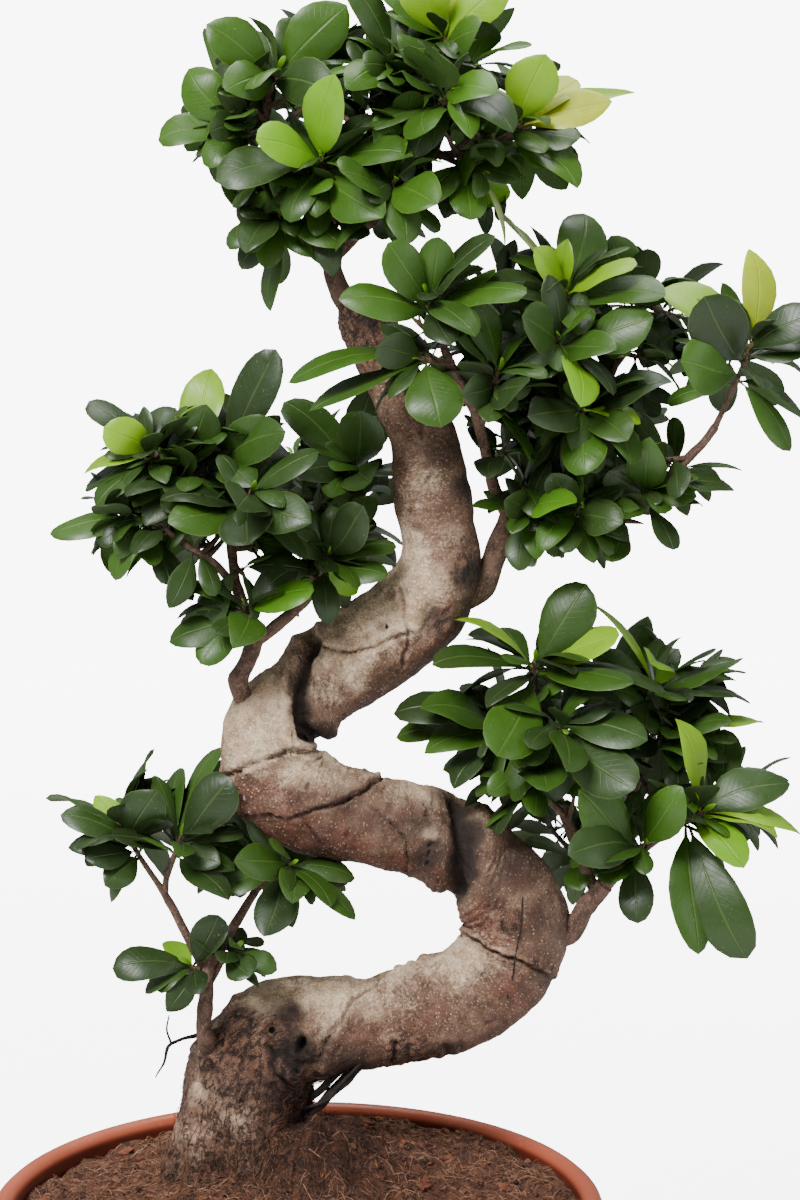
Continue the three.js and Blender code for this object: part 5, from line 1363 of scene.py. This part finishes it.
def shape_leaf(leaf, chance):
    """The points of one leaf blade with its stalk, bent, folded and waved in its own way."""
    root, tip, width, face = leaf["root"], leaf["tip"], leaf["width"], leaf["face"]
    length = np.linalg.norm(tip - root)
    ahead = (tip - root) / length
    roll = chance.uniform(-TURN, TURN) * leaf.get("loose", 0)
    width *= 1 - leaf.get("loose", 0) * chance.uniform(*NARROWER)
    face = face * math.cos(roll) + np.cross(ahead, face) * math.sin(roll)
    side = np.cross(face, ahead)
    root_power = chance.uniform(*ROOT_POWERS)
    tip_power = chance.uniform(*TIP_POWERS)
    reach = np.clip((leaf_along - STALK_SHARE) / (1 - STALK_SHARE), 0, 1)
    widest = root_power / (root_power + tip_power)
    full = widest ** root_power * (1 - widest) ** tip_power
    half = 0.5 * width * reach ** root_power * (1 - reach) ** tip_power / full
    stalk = STALK_RADIUS * np.clip(1.25 - 1.1 * leaf_along / STALK_SHARE, 0, 1) + 0.05
    half = np.maximum(half, stalk * (leaf_along < 0.9))
    half[(leaf_along == 0) | (leaf_along == 1)] = 0
    thick = np.where(leaf_along <= STALK_SHARE, STALK_RADIUS, 0.5 * BLADE_THICKNESS)
    across = leaf_across * half
    fold = chance.uniform(*(YOUNG_FOLDS if leaf["tint"] in YOUNG_TINTS else FOLDS))
    lift = LEAF_ARCH * chance.uniform(*ARCHES) * length * 4 * leaf_along * (1 - leaf_along)
    lift += fold * np.abs(across) - 0.22 * half * leaf_across ** 4
    wave = np.sin(2 * math.pi * (1.3 * leaf_along + chance.random())) * leaf_across
    lift += chance.uniform(-WAVE, WAVE) * width * wave
    lift -= chance.uniform(*TIP_DROOPS) * length * np.clip((leaf_along - 0.7) / 0.3, 0, 1) ** 2
    lift += thick * leaf_side
    bend = chance.uniform(-BEND, BEND) * length * np.sin(math.pi * leaf_along)
    twist = chance.uniform(-TURN, TURN) * leaf_along
    sideways = across * np.cos(twist) - lift * np.sin(twist) + bend
    lift = across * np.sin(twist) + lift * np.cos(twist)
    return root + np.outer(leaf_along * length, ahead) + np.outer(sideways, side) + np.outer(lift, face)


def straight_twig(start, end, turn):
    """A straight twig: its ends, its directions and the turn of its first leaf."""
    ahead = unit(end - start)
    across = square_to(ahead, np.array((0.3, -0.8, 0.52)))
    return {"start": start, "end": end, "ahead": ahead, "across": across, "beside": np.cross(ahead, across),
            "turn": turn}


def along_twig(twig, share):
    """The place at a share of the way along a twig."""
    return twig["start"] + share * (twig["end"] - twig["start"])


def twigs_of(shoot, number):
    """A shoot's own twig from its stem, then its side twigs."""
    _, stem, start, end, _, _, side_ends, _ = shoot
    start, end = spread_out([start, end])
    best = None
    for arm in STEMS[stem]:
        line = smooth_line(spread_out(arm), np.linspace(0, 1, 8 * (len(arm) - 1) + 1))
        nearest = line[np.argmin(np.linalg.norm(line - start, axis=1))]
        if best is None or np.linalg.norm(nearest - start) < np.linalg.norm(best - start):
            best = nearest
    main = straight_twig(best, end, 0.7 * number)
    side_ends = spread_out(side_ends) if side_ends else []
    return [main] + [straight_twig(along_twig(main, 0.93 - 0.11 * i), side_end, number + i + 1)
                     for i, side_end in enumerate(side_ends)]


def plain_leaf(twig, share, seen_tip, nudge):
    """A leaf that shows plainly. Its blade is turned so that it looks as wide as it does to the viewer."""
    x, z, depth, width, *tint = seen_tip
    root = along_twig(twig, share)
    tip = on_sight_lines([(x, z, depth + nudge)])[0]
    length = np.linalg.norm(tip - root)
    ahead = (tip - root) / length
    real_width = max(width, 1.12 * LEAF_SLIMNESS * min(length, 44))
    sight = unit(tip - EYE)
    level = unit(np.cross(ahead, sight))
    deep = np.cross(level, ahead)
    shown = min(1, width / real_width)
    turned_away = math.sqrt(1 - shown * shown)
    faces = [np.cross(ahead, a * shown * level + b * turned_away * deep) for a in (1, -1) for b in (1, -1)]
    face = max(faces, key=lambda each: 0.7 * each[2] - each @ sight)
    return {"root": root, "tip": tip, "width": real_width, "face": face, "tint": tint[0] if tint else None}


def ring_leaf(twig, index, count, size, nudge):
    """Leaf number index of those that stand around the twig, each turned by the golden angle."""
    share = (index + 0.5) / count
    root = along_twig(twig, 0.5 + 0.5 * share)
    opening = math.radians(OPENING - CLOSING * share)
    turn = index * GOLDEN_ANGLE + twig["turn"] + nudge / 30
    ahead = (twig["ahead"] * math.cos(opening) + twig["across"] * math.sin(opening) * math.cos(turn)
             + twig["beside"] * math.sin(opening) * math.sin(turn))
    ahead = unit(ahead - (0, 0, 0.12))
    length = size * (1.12 - 0.3 * share + 0.1 * math.sin(5 * index + twig["turn"]))
    return {"root": root, "tip": root + ahead * length, "width": 1.15 * length * LEAF_SLIMNESS,
            "face": square_to(ahead, 0.4 * twig["ahead"] + (0, 0, 0.8)), "tint": None, "loose": 1}


def bud(twig):
    """The pointed bud at a twig's end."""
    return {"root": twig["end"], "tip": twig["end"] + BUD_LENGTH * twig["ahead"], "width": BUD_WIDTH,
            "face": twig["across"], "tint": "fresh"}


def as_in_frame(tries, corners):
    """The first of a leaf's tries whose tip is a corner of the shoot's solid, if there is one."""
    for leaf in tries:
        if np.linalg.norm(corners - leaf["tip"], axis=1).min() < SAME_PLACE:
            return leaf
    return None


# Where foliage is seen: three places along each plain leaf, and the full places, x and z
foliage = np.array([
    (end[0] + part * (tip[0] - end[0]), end[1] + part * (tip[1] - end[1]))
    for _, _, _, end, _, _, _, seen_tips in SHOOTS for tip in seen_tips for part in (0.4, 0.7, 1)]
    + ARM_FOLIAGE_NEEDED * FULL_PLACES)


def among_leaves(leaf, needed):
    """Whether a leaf shows only where the tree has plenty of foliage."""
    spots = seen_from_eye(np.array([leaf["tip"], 0.5 * (leaf["root"] + leaf["tip"])]))
    return all((np.hypot(*(foliage - spot).T) < FOLIAGE_REACH).sum() >= needed for spot in spots)


def leaves_of(shoot, twigs, inner):
    """All leaves of a shoot: those of its solid, and more that fill the spray out and its inside."""
    name, stem, _, (_, _, end_depth), ring, size, _, seen_tips = shoot
    corners = np.array([vertex.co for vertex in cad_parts[f"shoot_{name}"].data.vertices]) / MM
    shift = (DEPTH_SPREAD - 1) * (end_depth - TRUNK_DEPTH)
    leaves = []
    for i, seen_tip in enumerate(seen_tips):
        share = 0.45 + 0.5 * (i + 1) / len(seen_tips)
        tries = [plain_leaf(twigs[0], share, seen_tip, shift + nudge) for nudge in TIP_NUDGES]
        leaves.append(as_in_frame(tries, corners))
    for twig in twigs:
        count = ring if twig is twigs[0] else SIDE_LEAVES
        for i in range(count):
            tries = [ring_leaf(twig, i, count, size, nudge) for nudge in TIP_NUDGES]
            leaves.append(as_in_frame(tries, corners))
    more = [ring_leaf({**twig, "turn": twig["turn"] + FULLER_TURN}, i, FULLER_LEAVES, FULLER_SIZE * size, 0)
            for twig in twigs for i in range(FULLER_LEAVES)]
    more += [ring_leaf(inner, i, INNER_LEAVES, INNER_SIZE * size, 0) for i in range(INNER_LEAVES)]
    # Painted shade: the filling leaves are darkened
    more = [{**leaf, "shade": INNER_PAINTED_SHADE} for leaf in more if among_leaves(leaf, FOLIAGE_NEEDED[stem])]
    return [leaf for leaf in leaves if leaf] + [bud(twig) for twig in twigs] + more


def foliage_mesh(name, leaves, stem, chance, nodes=()):
    """Leaves as one mesh, with each point's place on its blade and each leaf's tint."""
    points, tints, faces = [], [], []
    for k, leaf in enumerate(leaves):
        points.append(shape_leaf(leaf, chance))
        faces += [tuple(index + k * len(model_points) for index in face) for face in model_faces]
        if leaf["tint"]:
            tint = np.array(TINTS[leaf["tint"]])
        else:
            share = np.clip(GREENNESS[stem] + chance.uniform(-0.45, 0.45), 0, 1)
            tint = (1 - share) * np.array(TINTS["dark"]) + share * np.array(TINTS["green"])
        tint = tint * chance.uniform(0.85, 1.15) * leaf.get("shade", 1)
        tints.append(np.tile(tint, (len(model_points), 1)))
    piece = mesh_piece(name, np.concatenate(points), faces)
    carry(piece, tint=np.concatenate(tints), blade_across=np.tile(leaf_across, len(points)),
          blade_along=np.tile(leaf_along, len(points)), blade_side=np.tile(leaf_side, len(points)))
    finish_piece(piece, "leaf", leaf_skin, smooth=math.radians(75), nodes=nodes)


def spray(shoot, number):
    """Makes a shoot's leaves, and gives its twigs."""
    name, stem, *_ = shoot
    chance = random.Random(number)
    twigs = twigs_of(shoot, number)
    away = unit(twigs[0]["end"] - EYE) * INNER_DEPTH + [chance.uniform(-7, 7) for _ in range(3)]
    inner = straight_twig(along_twig(twigs[0], 0.75), twigs[0]["end"] + away, number + 0.5)
    foliage_mesh(f"leaves_{name}", leaves_of(shoot, twigs, inner), stem, chance, [f"shoot_{name}"])
    return twigs + [inner]


def arm_leaves(stem, number):
    """Leaves on short side twigs along a stem's arms, where the foliage is dense. Gives those twigs."""
    chance = random.Random(100 + number)
    leaves, twigs = [], []
    for arm in STEMS[stem][1:]:
        line = smooth_line(spread_out(arm), np.linspace(*ARM_PARTS[stem]))
        for place in line:
            way = unit(np.array([chance.uniform(-1, 1), chance.uniform(-1, 1), chance.uniform(-0.2, 1)]))
            twig = straight_twig(place, place + ARM_TWIG_LENGTH * way, chance.uniform(0, 6.28))
            grown = [ring_leaf(twig, i, ARM_TWIG_LEAVES, ARM_LEAF_LENGTH, 0) for i in range(ARM_TWIG_LEAVES)]
            grown = [leaf for leaf in grown if among_leaves(leaf, ARM_FOLIAGE_NEEDED)]
            if len(grown) >= ARM_TWIG_FEWEST:
                # Painted shade: these inner leaves are darkened
                leaves += [{**leaf, "shade": INNER_PAINTED_SHADE} for leaf in grown]
                twigs.append(twig)
    foliage_mesh(f"arm_leaves_{stem}", leaves, stem, chance)
    return twigs


leaf_skin, tree, shader = new_material("leaf_skin", 0.42, Specular_IOR_Level=0.4)
tint = named_attribute(tree, "tint", "Color")
across = sum_of(tree, "ABSOLUTE", named_attribute(tree, "blade_across"))
along = named_attribute(tree, "blade_along")
under = ramp(tree, named_attribute(tree, "blade_side"), -0.02, -0.35)
mottle = object_noise(tree, 130, 4, 0.6)
vein_place = added(tree, times(tree, along, 15.0), times(tree, across, -3.0))
veins = times(tree, ramp(tree, sum_of(tree, "PINGPONG", vein_place, 0.5), 0.08, 0.0),
              ramp(tree, across, 0.95, 0.7))
midrib = ramp(tree, across, 0.07, 0.02)
margin = ramp(tree, across, 0.95, 0.99)
lighter = tinted(tree, tint, (1.38, 1.44, 1.3, 1))
tone = tinted(tree, tint, mixed(tree, mottle, (0.8, 0.82, 0.8, 1), (1.2, 1.18, 1.2, 1)))
tone = mixed(tree, times(tree, veins, 0.12), tone, lighter)
tone = mixed(tree, times(tree, midrib, 0.36), tone, mixed(tree, 0.3, lighter, colour(140, 164, 84)))
tone = mixed(tree, times(tree, margin, 0.5), tone, mixed(tree, 0.3, lighter, colour(150, 164, 84)))
tone = mixed(tree, times(tree, under, 0.42), tone, mixed(tree, 0.35, lighter, colour(108, 128, 80)))
specks = ramp(tree, object_noise(tree, 1100, 2, 0.4), 0.72, 0.78)
tone = mixed(tree, times(tree, specks, 0.35), tone, colour(176, 188, 150))
tree.links.new(tone, shader.inputs["Base Color"])
tree.links.new(added(tree, times(tree, under, 0.2), ramp(tree, mottle, 0.3, 0.75, 0.32, 0.46)),
               shader.inputs["Roughness"])
leaf_height = added(tree, times(tree, veins, -0.1), times(tree, midrib, -0.7),
                    times(tree, object_noise(tree, 500, 2), 0.2))
bumped(tree, shader, leaf_height, 0.3)

twig_bark = loose_material("twig_bark", colour(78, 56, 42), colour(116, 92, 70), colour(150, 132, 104),
                           220, 0.6)
twigs_grown = {f"twig_{shoot[0]}": spray(shoot, number) for number, shoot in enumerate(SHOOTS)}
twigs_grown.update({f"arm_twigs_{stem}": arm_leaves(stem, number) for number, stem in enumerate(ARM_PARTS)})
for name, twigs in twigs_grown.items():
    lines = []
    for twig in twigs:
        way = twig["end"] - twig["start"]
        sag = np.array((0, 0, 0.03)) * np.linalg.norm(way)
        line = [twig["start"] - 1.5 * twig["ahead"], twig["start"] + 0.5 * way - sag, twig["end"],
                twig["end"] + 5 * twig["ahead"]]
        lines.append((np.array(line), TWIG_RADII))
    branch(name, lines, "young_bark", twig_bark, sides=1, spacing=2, knots=0.12)
